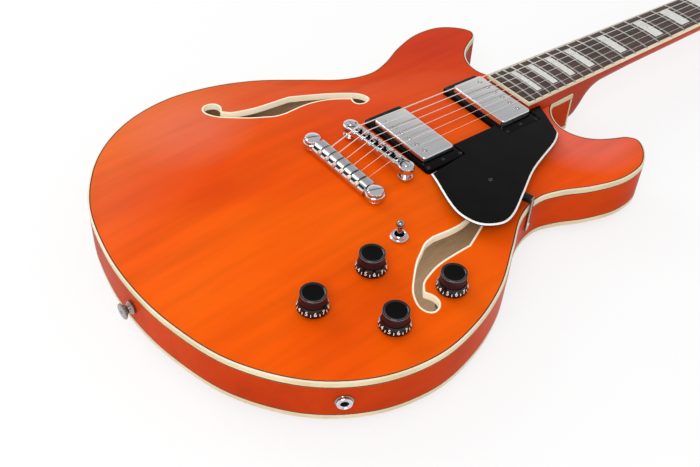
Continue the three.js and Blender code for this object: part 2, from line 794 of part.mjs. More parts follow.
addPiece('neck', cut(
  join([loft([...heelSections, ...shaftSections]), neckWedge, tenonBox(0), head]), [rodChannel]), redNeck);
const rodCentre = (y) => [0, y, neckTop(y) - rodDepth];
addPiece('truss_rod', bar([rodCentre(rodHeelY), rodCentre(nutBack + rodHeadReach)],
  [rodRadius, rodRadius], smallSteps), steel);

// Truss rod cover on the head's face
const coverShares = [[0.5, 0], [1, 0.2], [0.95, 0.42], [0.5, 0.78], [0.22, 1]];
const coverHalf = coverShares.map(([shareX, shareY]) =>
  new THREE.Vector2(shareX * coverHalfWidth, coverStart + shareY * coverLength));
const coverLoop = [...coverHalf, ...coverHalf.map(mirrorPoint).reverse()];
addPiece('truss_rod_cover', prism(coverLoop, gap, gap + coverThickness), black, headFrame);

// Fingerboard with its frets, its binding and the nut
const boardInner = (y) => boardHalf(y) - boardBinding - gap;
const frets = [];
for (let fret = 1; fret <= fretCount; fret++) {
  const y = scaleLength * Math.pow(2, -fret / 12);
  frets.push(slab({
    from: y - fretWidth / 2, to: y + fretWidth / 2, halfWidth: boardHalf, columns: 2,
    top: (x, at) => boardSurface(x, at) + fretHeight, bottom: (x, at) => boardSurface(x, at) - fretSink,
  }));
}
addPiece('fingerboard', join([slab({
  from: boardEnd + boardBinding + gap, to: scaleLength - gap, halfWidth: boardInner, columns: 2,
  top: boardSurface, bottom: (x, y) => neckTop(y) + gap,
}), ...frets]), darkWood);

const bindingTop = (x, y) => boardSurface(boardHalf(y), y) - fretSink - gap;
const bindingStrip = (side) => slab({
  from: boardEnd, to: scaleLength - gap, halfWidth: () => boardBinding / 2,
  middle: (y) => side * (boardHalf(y) - boardBinding / 2),
  top: bindingTop, bottom: (x, y) => neckTop(y) + gap,
});
addPiece('fingerboard_binding', join([bindingStrip(-1), bindingStrip(1), slab({
  from: boardEnd, to: boardEnd + boardBinding, halfWidth: (y) => boardHalf(y) - boardBinding / 2,
  top: bindingTop, bottom: (x, y) => neckTop(y) + gap,
})]), cream);

const stringZAtNut = (string) => boardSurface(stringX(string, nutSpread), scaleLength) + actionAtNut;
addPiece('nut', cut(slab({
  from: scaleLength, to: nutBack, halfWidth: () => nutWidth / 2, columns: 4,
  top: (x, y) => boardSurface(x, y) + nutRise, bottom: (x, y) => neckTop(y) + gap,
}), stringWidths.map((width, string) => {
  const x = stringX(string, nutSpread);
  return block(x - nutSlot / 2, x + nutSlot / 2, scaleLength - overrun, nutBack + overrun,
    stringZAtNut(string) - 2 * gap, skyZ);
})), boneWhite);

// Pickups in their rings
const tiltedZ = (rise, middleY) => (x, y) => rimTop + rise - pitchSlope * (y - middleY);
const pickupRises = { bridge: [bridgePickupRise, bridgeRingRise], neck: [neckPickupRise, neckRingRise] };
const coverFace = new THREE.Shape(
  roundedLoop(coverX - 2 * coverBevel, coverY - 2 * coverBevel, coverCorner - coverBevel));
const shellShape = {
  depth: pickupDepth - 2 * coverBevel, bevelSize: coverBevel, bevelThickness: coverBevel, bevelSegments: 1,
};
for (const [name, y] of pickupPlaces) {
  const [coverRise, ringRise] = pickupRises[name];
  const ring = draped(roundedLoop(ringX, ringY, ringCorner, 1, 2, 0, y),
    [roundedLoop(coverX + 4 * gap, coverY + 4 * gap, coverCorner, 1, 2, 0, y)],
    () => rimTop, tiltedZ(ringRise, y));
  addPiece(`${name}_pickup_ring`, cut(ring, [topSeat]), black);
  const shell = new THREE.ExtrudeGeometry(coverFace, shellShape).translate(0, 0, coverBevel - pickupDepth);
  const poleSide = name === 'neck' ? 1 : -1;
  const poles = stringWidths.map((width, string) => rod(poleRadius, stringX(string, stringSpread),
    poleSide * (coverY / 2 - poleInset), -coverBevel, poleRise, smallSteps));
  const pickup = addPiece(`${name}_pickup`, join([shell, ...poles]), chrome);
  pickup.position.set(0, y, rimTop + coverRise);
  pickup.rotation.x = -THREE.MathUtils.degToRad(neckPitch);
}

// Guard, notched round both rings, and its bracket at the waist
const guardTop = tiltedZ(guardRise, guardRiseY);
const ringEdge = ringX / 2 + gap;
const guardTopY = guardLowY + guardLength;
const guardEdge = new THREE.SplineCurve(guardShares.map(([shareX, shareY]) =>
  new THREE.Vector2(shareX * guardX, guardLowY + shareY * guardLength)));
const boardSide = (y) => boardHalf(y) + 3 * gap;
const guardLoop = [
  ...guardEdge.getPoints(2 * (guardShares.length - 1)),
  new THREE.Vector2(boardSide(guardTopY), guardTopY),
  new THREE.Vector2(boardSide(boardEnd), boardEnd + gap),
  new THREE.Vector2(ringEdge, boardEnd + gap),
  new THREE.Vector2(ringEdge, neckPickupY - ringY / 2 - gap),
  new THREE.Vector2(boardSide(boardEnd), neckPickupY - ringY / 2 - gap),
  new THREE.Vector2(boardSide(boardEnd), bridgePickupY + ringY / 2 + gap),
  new THREE.Vector2(ringEdge, bridgePickupY + ringY / 2 + gap),
];
addPiece('pickguard', draped(guardLoop, [], (x, y) => guardTop(x, y) - guardThickness, guardTop), black);

const waistPlace = rimLine.reduce((best, point, place) =>
  (point.x > 0 && Math.abs(point.y - bracketY) < Math.abs(rimLine[best].y - bracketY) ? place : best),
rimLine.length - 1);
const waistPoint = rimLine[waistPlace];
const waistAlong = rimLine[waistPlace + 1].clone().sub(rimLine[waistPlace - 1]);
const bracketZ = guardTop(0, waistPoint.y + bracketWidth) - guardThickness - gap;
const bracket = addPiece('pickguard_bracket', join([
  block(-bracketArm, 2 * gap + bracketThickness, -bracketWidth / 2, bracketWidth / 2,
    bracketZ - bracketThickness, bracketZ),
  block(2 * gap, 2 * gap + bracketThickness, -bracketWidth / 2, bracketWidth / 2,
    rimTop - bracketDrop, bracketZ),
  block(-bracketArm, -bracketArm + bracketBlock, -bracketWidth / 2, bracketWidth / 2,
    bracketZ - 3 * bracketThickness, bracketZ),
]), chrome);
bracket.position.set(waistPoint.x, waistPoint.y, 0);
bracket.rotation.z = Math.atan2(-waistAlong.x, waistAlong.y);

// Bridge on its two posts
const bridgeTurn = Math.atan2(bridgePostSkew, bridgePostX);
const bridgeLow = rimTop + bridgeBottomRise;
const bridgeHigh = rimTop + bridgeTopRise;
const bridgeBar = join([
  block(-bridgePostX, bridgePostX, -bridgeHalfY, bridgeHalfY, bridgeLow, bridgeHigh),
  ...[-1, 1].map((side) => rod(bridgeLobe, side * bridgePostX, 0, bridgeLow, bridgeHigh)),
]).rotateZ(bridgeTurn);
const saddles = stringWidths.map((width, string) => {
  const x = stringX(string, stringSpread);
  return block(x - saddleX / 2, x + saddleX / 2, saddleLine(string) - saddleY / 2,
    saddleLine(string) + saddleY / 2, bridgeLow + gap, saddleHeight(string) - gap);
});
addPiece('bridge', cut(join([bridgeBar, ...saddles]), hardwareHoles(rimTop, skyZ)), chrome);
for (const [name, side] of [['bass', -1], ['treble', 1]]) {
  const post = addPiece(`bridge_post_${name}`, turned([
    [0, -bridgePostSink], [bridgePostRadius, -bridgePostSink], [bridgePostRadius, wheelRise],
    [wheelRadius, wheelRise], [wheelRadius, wheelRise + wheelThickness],
    [columnRadius, wheelRise + wheelThickness],
    [columnRadius, bridgeBottomRise - gap], [bridgePostRadius, bridgeBottomRise - gap],
    [bridgePostRadius, bridgePostRise], [0, bridgePostRise],
  ], smallSteps), chrome);
  post.position.set(side * bridgePostX, side * bridgePostSkew, rimTop);
}

// Stop tailpiece on its two studs
const tailBarHalfX = tailStudX - studHeadRadius - tailStudRoom;
const tailBack = tailStudY - tailBarHalfY;
const tailFront = tailStudY + tailBarHalfY;
const tailMiddle = (tailBarBottomRise + tailBarTopRise) / 2;
const tailProfile = [
  [tailFront, tailBarBottomRise + overrun], [tailFront, tailSlotRise + overrun],
  [tailFront - overrun, tailBarTopRise], [tailStudY - overrun, tailBarTopRise],
  [tailBack, tailMiddle + overrun], [tailBack, tailBarBottomRise + overrun],
  [tailBack + overrun, tailBarBottomRise], [tailFront - overrun, tailBarBottomRise],
];
const tailBar = loft([-tailBarHalfX, tailBarHalfX].map((x) =>
  tailProfile.map(([y, rise]) => [x, y, rimTop + rise])));
const tailLug = (side) => join([
  rod(tailLugRadius, side * tailStudX, tailStudY, rimTop + tailLugBottomRise, rimTop + tailLugTopRise),
  block(side > 0 ? tailBarHalfX - overrun : -tailStudX, side > 0 ? tailStudX : overrun - tailBarHalfX,
    tailStudY - tailLugRadius * tailLugWaistShare, tailStudY + tailLugRadius * tailLugWaistShare,
    rimTop + tailLugBottomRise, rimTop + tailLugTopRise),
]);
const studSlots = [-1, 1].flatMap((side) => [
  rod(studHole, side * tailStudX, tailStudY, rimTop, skyZ),
  block(side * tailStudX - studHole, side * tailStudX + studHole, tailStudY,
    tailStudY + tailLugRadius + overrun, rimTop, skyZ),
]);
const stringSlots = stringWidths.flatMap((width, string) => {
  const x = stringX(string, stringSpread);
  const pocket = ballRadius + gap;
  return [
    block(x - tailSlot / 2, x + tailSlot / 2, tailBack - overrun, tailFront + overrun,
      rimTop + tailSlotRise - tailSlot / 2, skyZ),
    block(x - pocket, x + pocket, tailBack - overrun, tailBack + ballLength + 2 * gap,
      rimTop + tailSlotRise - pocket, skyZ),
  ];
});
const tailCasting = join([tailBar, tailLug(-1), tailLug(1)]);
addPiece('tailpiece', cut(tailCasting, [...studSlots, ...stringSlots]), chrome);
for (const [name, side] of [['bass', -1], ['treble', 1]]) {
  const headLow = tailLugTopRise + gap;
  const collarTop = tailLugBottomRise - gap;
  const stud = addPiece(`tailpiece_stud_${name}`, turned([
    [0, -studSink], [studNeckRadius, -studSink], [studNeckRadius, collarTop - studCollarHeight],
    [studHeadRadius, collarTop - studCollarHeight], [studHeadRadius, collarTop],
    [studNeckRadius, collarTop], [studNeckRadius, headLow], [studHeadRadius, headLow],
    [studHeadRadius, headLow + studHeadHeight / 2],
    [studHeadRadius * studFlatShare, headLow + studHeadHeight], [0, headLow + studHeadHeight],
  ], smallSteps), chrome);
  stud.position.set(side * tailStudX, tailStudY, rimTop);
}

// Strings from the ball end to the turns round the post
stringWidths.forEach((width, string) => {
  const radius = width / 2;
  const x = stringX(string, stringSpread);
  const bass = string < stringWidths.length / 2;
  const place = bass ? string : stringWidths.length - 1 - string;
  const [side, postX, postY] = tunerSpots[(bass ? 0 : stringWidths.length / 2) + place];
  const woundInner = postRadius + gap;
  const woundOuter = woundInner + woundWall;
  const tangent = postX - side * (woundInner + woundWall / 2);
  const ballZ = rimTop + tailSlotRise;
  const overSaddle = saddleHeight(string) + radius;
  const route = [
    [x, tailBack + gap, ballZ], [x, tailBack + gap + ballLength, ballZ],
    [x, tailBack + 2 * gap + ballLength, ballZ], [x, tailFront, ballZ],
    [x, saddleLine(string) - saddleY / 2, overSaddle],
    [stringX(string, nutSpread), nutBack, stringZAtNut(string) + radius],
    fromHead(tangent, postY, woundRise + woundHeight / 2),
  ];
  const thick = [ballRadius, ballRadius, radius, radius, radius, radius, radius];
  const turns = cut(rod(woundOuter, postX, postY, woundRise, woundRise + woundHeight, smallSteps),
    [rod(woundInner, postX, postY, 0, 2 * woundRise + woundHeight, smallSteps)]);
  turns.applyMatrix4(headFrame.matrixWorld);
  addPiece(`string_${stringWidths.length - string}`, join([bar(route, thick, tinySteps), turns]), steel);
});

// Tuners: the housing with its threaded sleeve, the post and the key
tunerSpots.forEach(([side, x, y], index) => {
  const label = `${side < 0 ? 'bass' : 'treble'}_${index % (tunerSpots.length / 2) + 1}`;
  const housingTop = -headThickness - gap;
  const housingFloor = housingTop - housingDepth;
  const keyZ = housingTop - housingDepth / 2;
  const keyFace = side * housingHalfX;
  const housing = cut(join([
    block(-housingHalfX, housingHalfX, -housingHalfY, housingHalfY, housingFloor, housingTop),
    rod(sleeveRadius, 0, 0, housingTop - overrun, gap + ferruleHeight, smallSteps),
    rod(ferruleRadius, 0, 0, gap, gap + ferruleHeight, smallSteps),
  ]), [
    rod(postRadius + gap, 0, 0, housingTop - postSink - gap, ferruleHeight + overrun, smallSteps),
    rod(keyShaftRadius + gap, 0, 0, -keyBoreDepth, overrun, smallSteps)
      .rotateY(side * Math.PI / 2).translate(keyFace, 0, keyZ),
  ]);
  const seat = new THREE.Group();
  seat.position.set(x, y, 0);
  headFrame.add(seat);
  addPiece(`tuner_housing_${label}`, housing, nickel, seat);
  addPiece(`tuner_post_${label}`, turned([
    [0, housingTop - postSink], [postRadius, housingTop - postSink], [postRadius, woundRise + woundHeight],
    [postRadius, postRise - overrun], [postRadius - gap, postRise], [0, postRise],
  ], smallSteps), nickel, seat);
  const buttonLow = keyShaftReach - overrun;
  const button = prism(circleLoop(buttonHalfZ, 0, 0, smallSteps), buttonLow, buttonLow + buttonThickness)
    .scale(1, buttonHalfY / buttonHalfZ, 1);
  const key = join([rod(keyShaftRadius, 0, 0, gap - keyBoreDepth, keyShaftReach, smallSteps), button])
    .rotateY(side * Math.PI / 2).translate(keyFace, 0, keyZ);
  addPiece(`tuner_key_${label}`, key, nickel, seat);
});

// Controls: each pot's can hangs under the top by its bushing and nut
const potParts = knobPlaces.flatMap(([x, y]) => {
  const nutLow = highestTop(x, y, potNutRadius) + gap;
  const canTop = lowestTop(x, y, potRadius) - plateThickness - potDrop;
  const canLow = canTop - potHeight;
  return [
    rod(potRadius, x, y, canLow, canTop),
    rod(bushingRadius, x, y, canTop - overrun, nutLow + potNutHeight, smallSteps),
    rod(potNutRadius, x, y, nutLow, nutLow + potNutHeight, smallSteps),
  ];
});
const potBores = knobPlaces.map(([x, y]) =>
  rod(bushingRadius - bushingWall, x, y,
    highestTop(x, y, potNutRadius) + knobLift - shaftSink - overrun, skyZ, smallSteps));
const potSide = ([x, y]) => lowestTop(x, y, potRadius) - plateThickness - potDrop - potHeight + wireDrop;
const wireEnds = knobPlaces.map((place) => [...place, potSide(place)]);
const jackInner = [
  jackPoint.x - Math.cos(jackTurn) * (jackReach + 2 * gap),
  jackPoint.y - Math.sin(jackTurn) * (jackReach + 2 * gap), rimTop + jackRise,
];
const toggleFloor = lowestTop(toggleX, toggleY, toggleBoxY / 2) - plateThickness - gap - toggleBoxZ;
const wireRuns = [
  [wireEnds[0], wireEnds[1]], [wireEnds[1], wireEnds[2]], [wireEnds[2], wireEnds[3]],
  [wireEnds[1], jackInner],
  [wireEnds[0], [toggleX, toggleY - toggleBoxY / 2 - 3 * gap, toggleFloor + wireDrop]],
];
const wires = wireRuns.map((route) => bar(route, [wireRadius, wireRadius], tinySteps));
addPiece('control_harness', cut(join([...potParts, ...wires]), potBores), bareMetal);

const knobNames = ['bridge_volume', 'bridge_tone', 'neck_tone', 'neck_volume'];
knobPlaces.forEach(([x, y], index) => {
  const knob = addPiece(`knob_${knobNames[index]}`, turned([
    [0, -shaftSink + knobHollowHeight], [shaftRadius, -shaftSink + knobHollowHeight],
    [shaftRadius, knobHollowHeight], [knobHollowRadius, knobHollowHeight], [knobHollowRadius, 0],
    [knobSkirtRadius, 0], [knobSkirtRadius, knobEdge],
    [knobTopRadius + 2 * gap, knobHeight / 3], [knobTopRadius, knobHeight - knobEdge],
    [knobTopRadius - knobEdge, knobHeight], [0, knobHeight],
  ]), black);
  knob.position.set(x, y, highestTop(x, y, knobSkirtRadius) + knobLift);
});

// Toggle switch with its lever
const toggleSeat = highestTop(toggleX, toggleY, toggleNutRadius) + gap;
const boxTop = lowestTop(toggleX, toggleY, toggleBoxY / 2) - plateThickness - gap;
addPiece('toggle_switch', cut(join([
  block(toggleX - toggleBoxX / 2, toggleX + toggleBoxX / 2, toggleY - toggleBoxY / 2,
    toggleY + toggleBoxY / 2, boxTop - toggleBoxZ, boxTop),
  rod(toggleBushingRadius, toggleX, toggleY, boxTop - overrun, toggleSeat + toggleNutHeight),
  rod(toggleNutRadius, toggleX, toggleY, toggleSeat, toggleSeat + toggleNutHeight),
]), [rod(toggleBore, toggleX, toggleY, toggleSeat - leverSink - toggleBore, skyZ)]), chrome);
const pivotRadius = toggleBore - gap;
const ballProfile = (radius, height) => ballShares.map(([across, up]) => [radius * across, height + radius * up]);
const lever = addPiece('toggle_lever', turned([
  [0, -pivotRadius], ...ballProfile(pivotRadius, 0), [leverRadius, pivotRadius],
  [leverRadius, leverLength - leverTip], ...ballProfile(leverTip, leverLength), [0, leverLength + leverTip],
], smallSteps), chrome);
lever.position.set(toggleX, toggleY, toggleSeat - leverSink);

// Output jack through the rim
addPiece('output_jack', placedOnSide(cut(join([
  rod(jackBarrel, 0, 0, -jackReach, jackNutHeight + gap),
  rod(jackNutRadius, 0, 0, gap, jackNutHeight + gap),
  rod(jackFrame, 0, 0, -jackReach, -jackReach + jackNutHeight),
]), [rod(jackBore, 0, 0, -jackReach + jackNutHeight / 2, jackNutHeight + overrun)])), chrome);

// Strap buttons
const strapProfile = [
  [0, gap], [buttonFoot, gap], [buttonFoot, gap + strapFlange], [buttonNeck, 2 * strapFlange],
  [buttonNeck, strapLength - 2 * strapFlange], [buttonEnd, strapLength - strapFlange],
  [buttonEnd, strapLength], [0, strapLength],
];
const tailButton = addPiece('tail_strap_button', turned(strapProfile), chrome);
tailButton.position.set(0, -tailReach, rimTop + tailButtonRise);
tailButton.rotation.x = Math.PI / 2;
const heelButton = addPiece('heel_strap_button', turned(strapProfile), chrome);
heelButton.position.set(-boardHalf(heelStart), heelStart + heelButtonReach, rimTop + heelButtonRise);
heelButton.rotation.y = -Math.PI / 2;

// The guitar is moved so that the middle of its underside is the origin.
guitar.updateMatrixWorld(true);
const reach = new THREE.Box3().setFromObject(guitar, true);
const middle = reach.getCenter(new THREE.Vector3());
guitar.position.set(-middle.x, -middle.y, -reach.min.z);

export default guitar;
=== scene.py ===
# %% [markdown]
# # A semi-hollow electric guitar
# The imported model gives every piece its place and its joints. This lesson dresses it: the coarse
# solids are replaced by smooth ones of the same size, and each gets its finish.
# Sizes are typed in millimetres, the way a guitar maker measures: x from the middle line with the
# treble side positive, y from the line of the saddles towards the neck, z from the back.

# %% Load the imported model
import json
import math
import bmesh
import bpy
from mathutils import Matrix, Vector
from mathutils.kdtree import KDTree


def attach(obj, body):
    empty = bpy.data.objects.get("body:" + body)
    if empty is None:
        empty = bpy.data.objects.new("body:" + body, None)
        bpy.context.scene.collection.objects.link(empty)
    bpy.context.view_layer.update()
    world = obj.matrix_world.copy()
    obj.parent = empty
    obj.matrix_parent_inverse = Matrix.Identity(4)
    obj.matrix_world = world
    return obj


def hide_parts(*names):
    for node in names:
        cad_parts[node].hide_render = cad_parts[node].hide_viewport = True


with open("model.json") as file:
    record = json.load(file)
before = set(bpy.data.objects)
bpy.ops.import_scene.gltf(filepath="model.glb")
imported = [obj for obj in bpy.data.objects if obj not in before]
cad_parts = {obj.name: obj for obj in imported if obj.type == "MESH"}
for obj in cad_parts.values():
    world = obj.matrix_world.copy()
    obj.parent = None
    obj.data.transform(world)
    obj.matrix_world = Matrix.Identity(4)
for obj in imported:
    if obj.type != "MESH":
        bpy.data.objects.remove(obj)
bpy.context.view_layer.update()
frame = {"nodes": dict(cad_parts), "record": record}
bpy.ops.object.select_all(action="DESELECT")

# %% [markdown]
# The model's own frame has its middle at the origin, so one shift along y turns the maker's
# numbers into metres in that frame. Keeping it in one function means that no piece is fitted by
# eye. A second function seats a piece that was made at the middle: turned first, then moved.

# %% From the maker's millimetres to the model's metres
SADDLE_Y = -268.65
RIM_TOP = 56.5
BACK_EDGE = 12.0
BODY_HALF = 199.5
TAIL_REACH = 254.5
NECK_REACH = 236.0
PLATE = 6.0
BINDING = 2.2
GAP = 0.3


def place(x, y, z):
    return Vector((x, y + SADDLE_Y, z)) / 1000


def turn_by(degrees, axis):
    return Matrix.Rotation(math.radians(degrees), 4, axis)


def seated(spot, turn=Matrix.Identity(4)):
    return Matrix.Translation(place(*spot)) @ turn @ Matrix.Translation(-place(0, 0, 0))


def blend(a, b, share):
    return a + (b - a) * share


def ease(value, low, high):
    t = min(1, max(0, (value - low) / (high - low)))
    return t * t * (3 - 2 * t)


print("the saddles stand at", place(0, 0, 0)[:])

# %% [markdown]
# The camera comes first, because every later choice is judged through it. Its angle, distance and
# lens were measured from the photograph with straight and level things: frets, binding and covers.

# %% Camera at the photograph's viewing angle
AZIMUTH, LIFT, ROLL = (math.radians(angle) for angle in (48.82, 43.66, 3.51))
DISTANCE, LENS = 0.85417, 51.79

back = Vector((math.sin(AZIMUTH) * math.cos(LIFT), -math.cos(AZIMUTH) * math.cos(LIFT), math.sin(LIFT)))
level = Vector((math.cos(AZIMUTH), math.sin(AZIMUTH), 0))
upward = back.cross(level)
across = level * math.cos(ROLL) + upward * math.sin(ROLL)
upward = upward * math.cos(ROLL) - level * math.sin(ROLL)
bpy.ops.object.camera_add()
camera = bpy.context.object
camera.name = "photo_camera"
camera.matrix_world = (Matrix.Translation(place(54.41, -74.33, RIM_TOP) + back * DISTANCE)
                       @ Matrix((across, upward, back)).transposed().to_4x4())
camera.data.lens = LENS
camera.data.sensor_width = 36
camera.data.clip_start = 0.01
bpy.context.scene.camera = camera
print("camera lens", LENS)

# %% [markdown]
# A product photograph like this is lit by big soft lamps. One broad lamp stands on the camera's
# side and gives the arched top its long sheen, and a weaker one opposite fills the shadows. The
# world is an even pale grey for the surfaces. The camera sees it white, and so do the reflections,
# but for a ceiling that greys overhead, as in a studio: without it, level chrome would be all white.
# Materials and light are built from nodes, so the helpers that add and join nodes come here.

# %% Studio light
def tint(code, alpha=1.0):
    parts = [int(code[i:i + 2], 16) / 255 for i in (0, 2, 4)]
    return (*[c / 12.92 if c <= 0.04045 else ((c + 0.055) / 1.055) ** 2.4 for c in parts], alpha)


def feed(tree, value, socket):
    if isinstance(value, bpy.types.NodeSocket):
        tree.links.new(value, socket)
    else:
        socket.default_value = tint(value) if isinstance(value, str) else value


def node(tree, kind, inputs=None, **settings):
    made = tree.nodes.new("ShaderNode" + kind)
    for name, value in settings.items():
        setattr(made, name, value)
    for name, value in (inputs or {}).items():
        feed(tree, value, made.inputs[name])
    return made


def ramp(tree, value, stops):
    made = node(tree, "ValToRGB", {"Fac": value})
    while len(made.color_ramp.elements) < len(stops):
        made.color_ramp.elements.new(0.5)
    for element, (at, colour) in zip(made.color_ramp.elements, stops):
        element.position = at
        element.color = tint(colour) if isinstance(colour, str) else (colour, colour, colour, 1)
    return made.outputs["Color"]


def maths(tree, kind, first, second):
    return node(tree, "Math", {0: first, 1: second}, operation=kind).outputs[0]


def seen(tree, *rays):
    paths, share = node(tree, "LightPath"), 0.0
    for ray in rays:
        share = maths(tree, "MAXIMUM", share, paths.outputs[ray])
    return share


def add_lamp(name, spot, target, size, watts):
    bpy.ops.object.light_add(type="AREA", location=spot)
    lamp = bpy.context.object
    lamp.name = name
    lamp.data.shape = "DISK"
    lamp.data.size = size
    lamp.data.energy = watts
    lamp.rotation_euler = (Vector(spot) - Vector(target)).to_track_quat("Z", "Y").to_euler()


add_lamp("broad_lamp", (0.9, -1.6, 1.6), (0, -0.2, 0), 1.3, 19)
add_lamp("fill_lamp", (-1.5, -0.6, 1.3), (0, -0.3, 0), 1.2, 8)

world = bpy.context.scene.world or bpy.data.worlds.new("studio")
bpy.context.scene.world = world
world.use_nodes = True
sky = world.node_tree
sky.nodes.clear()
height = node(sky, "SeparateXYZ", {0: node(sky, "TexCoord").outputs["Generated"]}).outputs["Z"]
ceiling = ramp(sky, height, [(0.25, 1.0), (0.6, 0.58)])
even = node(sky, "Background", {"Color": "ffffff", "Strength": 0.62}).outputs[0]
white = node(sky, "Background", {"Color": ceiling, "Strength": 1.0}).outputs[0]
looked_at = seen(sky, "Is Camera Ray", "Is Glossy Ray", "Is Transmission Ray")
sky_mix = node(sky, "MixShader", {0: looked_at, 1: even, 2: white})
node(sky, "OutputWorld", {"Surface": sky_mix.outputs[0]})
bpy.context.scene.view_settings.view_transform = "Standard"

# %% [markdown]
# Every finish below starts from the same few pieces: a cloudy pattern in object space, stretched
# along one axis, a ramp of colours, and a bump. Small helpers keep each material short.

# %% Helpers for materials
def new_material(name, colour, roughness, metallic=0.0, coat=0.0, specular=0.5):
    made = bpy.data.materials.new(name)
    made.use_nodes = True
    shader = made.node_tree.nodes["Principled BSDF"]
    for socket, value in (("Base Color", colour), ("Roughness", roughness), ("Metallic", metallic),
                          ("Coat Weight", coat), ("Coat Roughness", 0.12),
                          ("Specular IOR Level", specular)):
        feed(made.node_tree, value, shader.inputs[socket])
    return made, made.node_tree, shader


def here(tree):
    return node(tree, "TexCoord").outputs["Object"]


def noise(tree, scale, stretch=(1, 1, 1), **settings):
    mapped = node(tree, "Mapping", {"Vector": here(tree), "Scale": stretch}).outputs["Vector"]
    return node(tree, "TexNoise", {"Vector": mapped, "Scale": scale, **settings}).outputs["Fac"]


def ranged(tree, value, *limits):
    sides = dict(zip(("From Min", "From Max", "To Min", "To Max"), limits))
    return node(tree, "MapRange", {"Value": value, **sides}).outputs["Result"]


def mix(tree, kind, share, first, second):
    made = node(tree, "Mix", data_type="RGBA", blend_type=kind)
    for name, value in (("Factor", share), ("A", first), ("B", second)):
        feed(tree, value, [s for s in made.inputs if s.name == name and s.enabled][0])
    return [s for s in made.outputs if s.enabled][0]


def bump(tree, shader, height, strength, distance):
    made = node(tree, "Bump", {"Height": height, "Strength": strength, "Distance": distance / 1000})
    feed(tree, made.outputs["Normal"], shader.inputs["Normal"])


def uneven(tree, shader, low, high, scale, stretch=(1, 1, 1)):
    cloud = noise(tree, scale, stretch, Detail=4.0)
    feed(tree, ramp(tree, cloud, [(0.3, low), (0.7, high)]), shader.inputs["Roughness"])


print("material helpers ready")

# %% [markdown]
# The body is finished in see-through coloured lacquer, satin, with the faintest unevenness from
# sanding. The wood's soft streaks run along the strings. In the photograph the orange of the top
# deepens to red towards the bass horn and the waist; at the treble waist that red is partly painted
# shade from the guard. Where the top mirrors the studio it pales, and those pale and pink patches are
# painted reflections. So each fade below starts along a direction or at a distance from a spot and
# mixes in one more colour.

# %% Lacquered wood
def lacquered(name, bright, middle, deep, streak, specular=0.06, tone_and_painted_light=()):
    made, tree, shader = new_material(name, middle, 0.33, specular=specular)
    cloud = noise(tree, 5.0, (1.2, 0.8, 1), Detail=3.0)
    grain = noise(tree, 26.0, (2.4, 0.16, 1.5), Detail=7.0, Roughness=0.6)
    base = ramp(tree, cloud, [(0.32, deep), (0.5, middle), (0.68, bright)])
    for kind, spot, low, high, share, colour in tone_and_painted_light:
        way = node(tree, "VectorMath", {0: here(tree), 1: spot}, operation=kind).outputs["Value"]
        base = mix(tree, "MIX", ranged(tree, way, low, high, 0, share), base, colour)
    fine = ramp(tree, grain, [(0.32, streak), (0.56, 1.0)])
    feed(tree, mix(tree, "MULTIPLY", 0.5, base, fine), shader.inputs["Base Color"])
    uneven(tree, shader, 0.29, 0.37, 30.0, (1, 0.3, 1))
    bump(tree, shader, noise(tree, 90.0, (1, 0.25, 1), Detail=5.0), 0.06, 0.15)
    return made


# Painted light in the fades: a red patch at the treble waist that is partly painted shade from the guard, and
# painted pale and pink reflections towards the bass tail, at the treble horn and at the bass sound hole's
# tail end.
top_lacquer = lacquered("orange_top_lacquer", "fa6404", "f65a02", "e64604", 0.74, specular=0.05, tone_and_painted_light=(
    ("DOT_PRODUCT", (-1.2, 1, 0), -0.27, 0.03, 0.8, "cc3820"),
    ("DOT_PRODUCT", (-1.5, -0.5, 0), 0.3, 0.5, 0.5, "f4884c"),
    ("DISTANCE", (0.13, -0.16, 0.06), 0.12, 0.04, 0.4, "ea2c10"),
    ("DISTANCE", (0.08, -0.072, 0.06), 0.063, 0.03, 0.65, "f07668"),
    ("DISTANCE", (-0.145, -0.38, 0.06), 0.07, 0.02, 0.4, "f08068")))
side_lacquer = lacquered("red_side_lacquer", "d84814", "c83e10", "ac2e0c", 0.75, specular=0.015)
neck_lacquer = lacquered("red_neck_lacquer", "cc4418", "be3a14", "a42c0e", 0.7)
print("lacquers", top_lacquer.name, side_lacquer.name, neck_lacquer.name)

# %% [markdown]
# Binding is a thin strip of cream plastic, slightly yellowed and never quite one colour. The
# fingerboard is dark oiled wood with open pores along the grain. The inside of the body is bare
# wood. Light that bounces about in there makes it glow, so it shines by itself a little as painted
# light, more on the treble side, which faces the lamp, and less under the guard as painted shade.
# The cream edges of the sound holes shine by themselves a little too, as painted light.

# %% Plastic, bare wood and fingerboard wood
def speckled(name, colour, second, roughness, scale=60.0, specular=0.25, grain=0.05, glow=0.0):
    made, tree, shader = new_material(name, colour, roughness, specular=specular)
    cloud = noise(tree, scale, Detail=4.0)
    feed(tree, ramp(tree, cloud, [(0.35, second), (0.6, colour)]), shader.inputs["Base Color"])
    bump(tree, shader, cloud, grain, 0.1)
    feed(tree, colour, shader.inputs["Emission Color"])
    feed(tree, glow, shader.inputs["Emission Strength"])
    return made


cream = speckled("cream_binding", "f6ead0", "eddcba", 0.36, 24.0)
# Painted shade: a darker cream for the binding's upright faces, which catch less light than its top.
cream_painted_shade = speckled("cream_binding_painted_shade", "e6d8b4", "d8c8a0", 0.36, 24.0)
# The sound holes' cream edge shines a little by itself: painted light on the walls inside the holes.
cream_edge = speckled("cream_hole_edge", "fff2dc", "f8e8ca", 0.36, 24.0, glow=0.16)
white_layer = speckled("white_edge_plastic", "ffffff", "f4f2ee", 0.35)
bone = speckled("bone_nut", "eee8d8", "ded4ba", 0.42, 150.0)
black_gloss = speckled("black_gloss_plastic", "060506", "0a090a", 0.13, 40.0, 0.08, 0.02)
black_satin = speckled("black_satin_plastic", "121112", "1c1a1b", 0.3, 200.0, 0.15, 0.1)


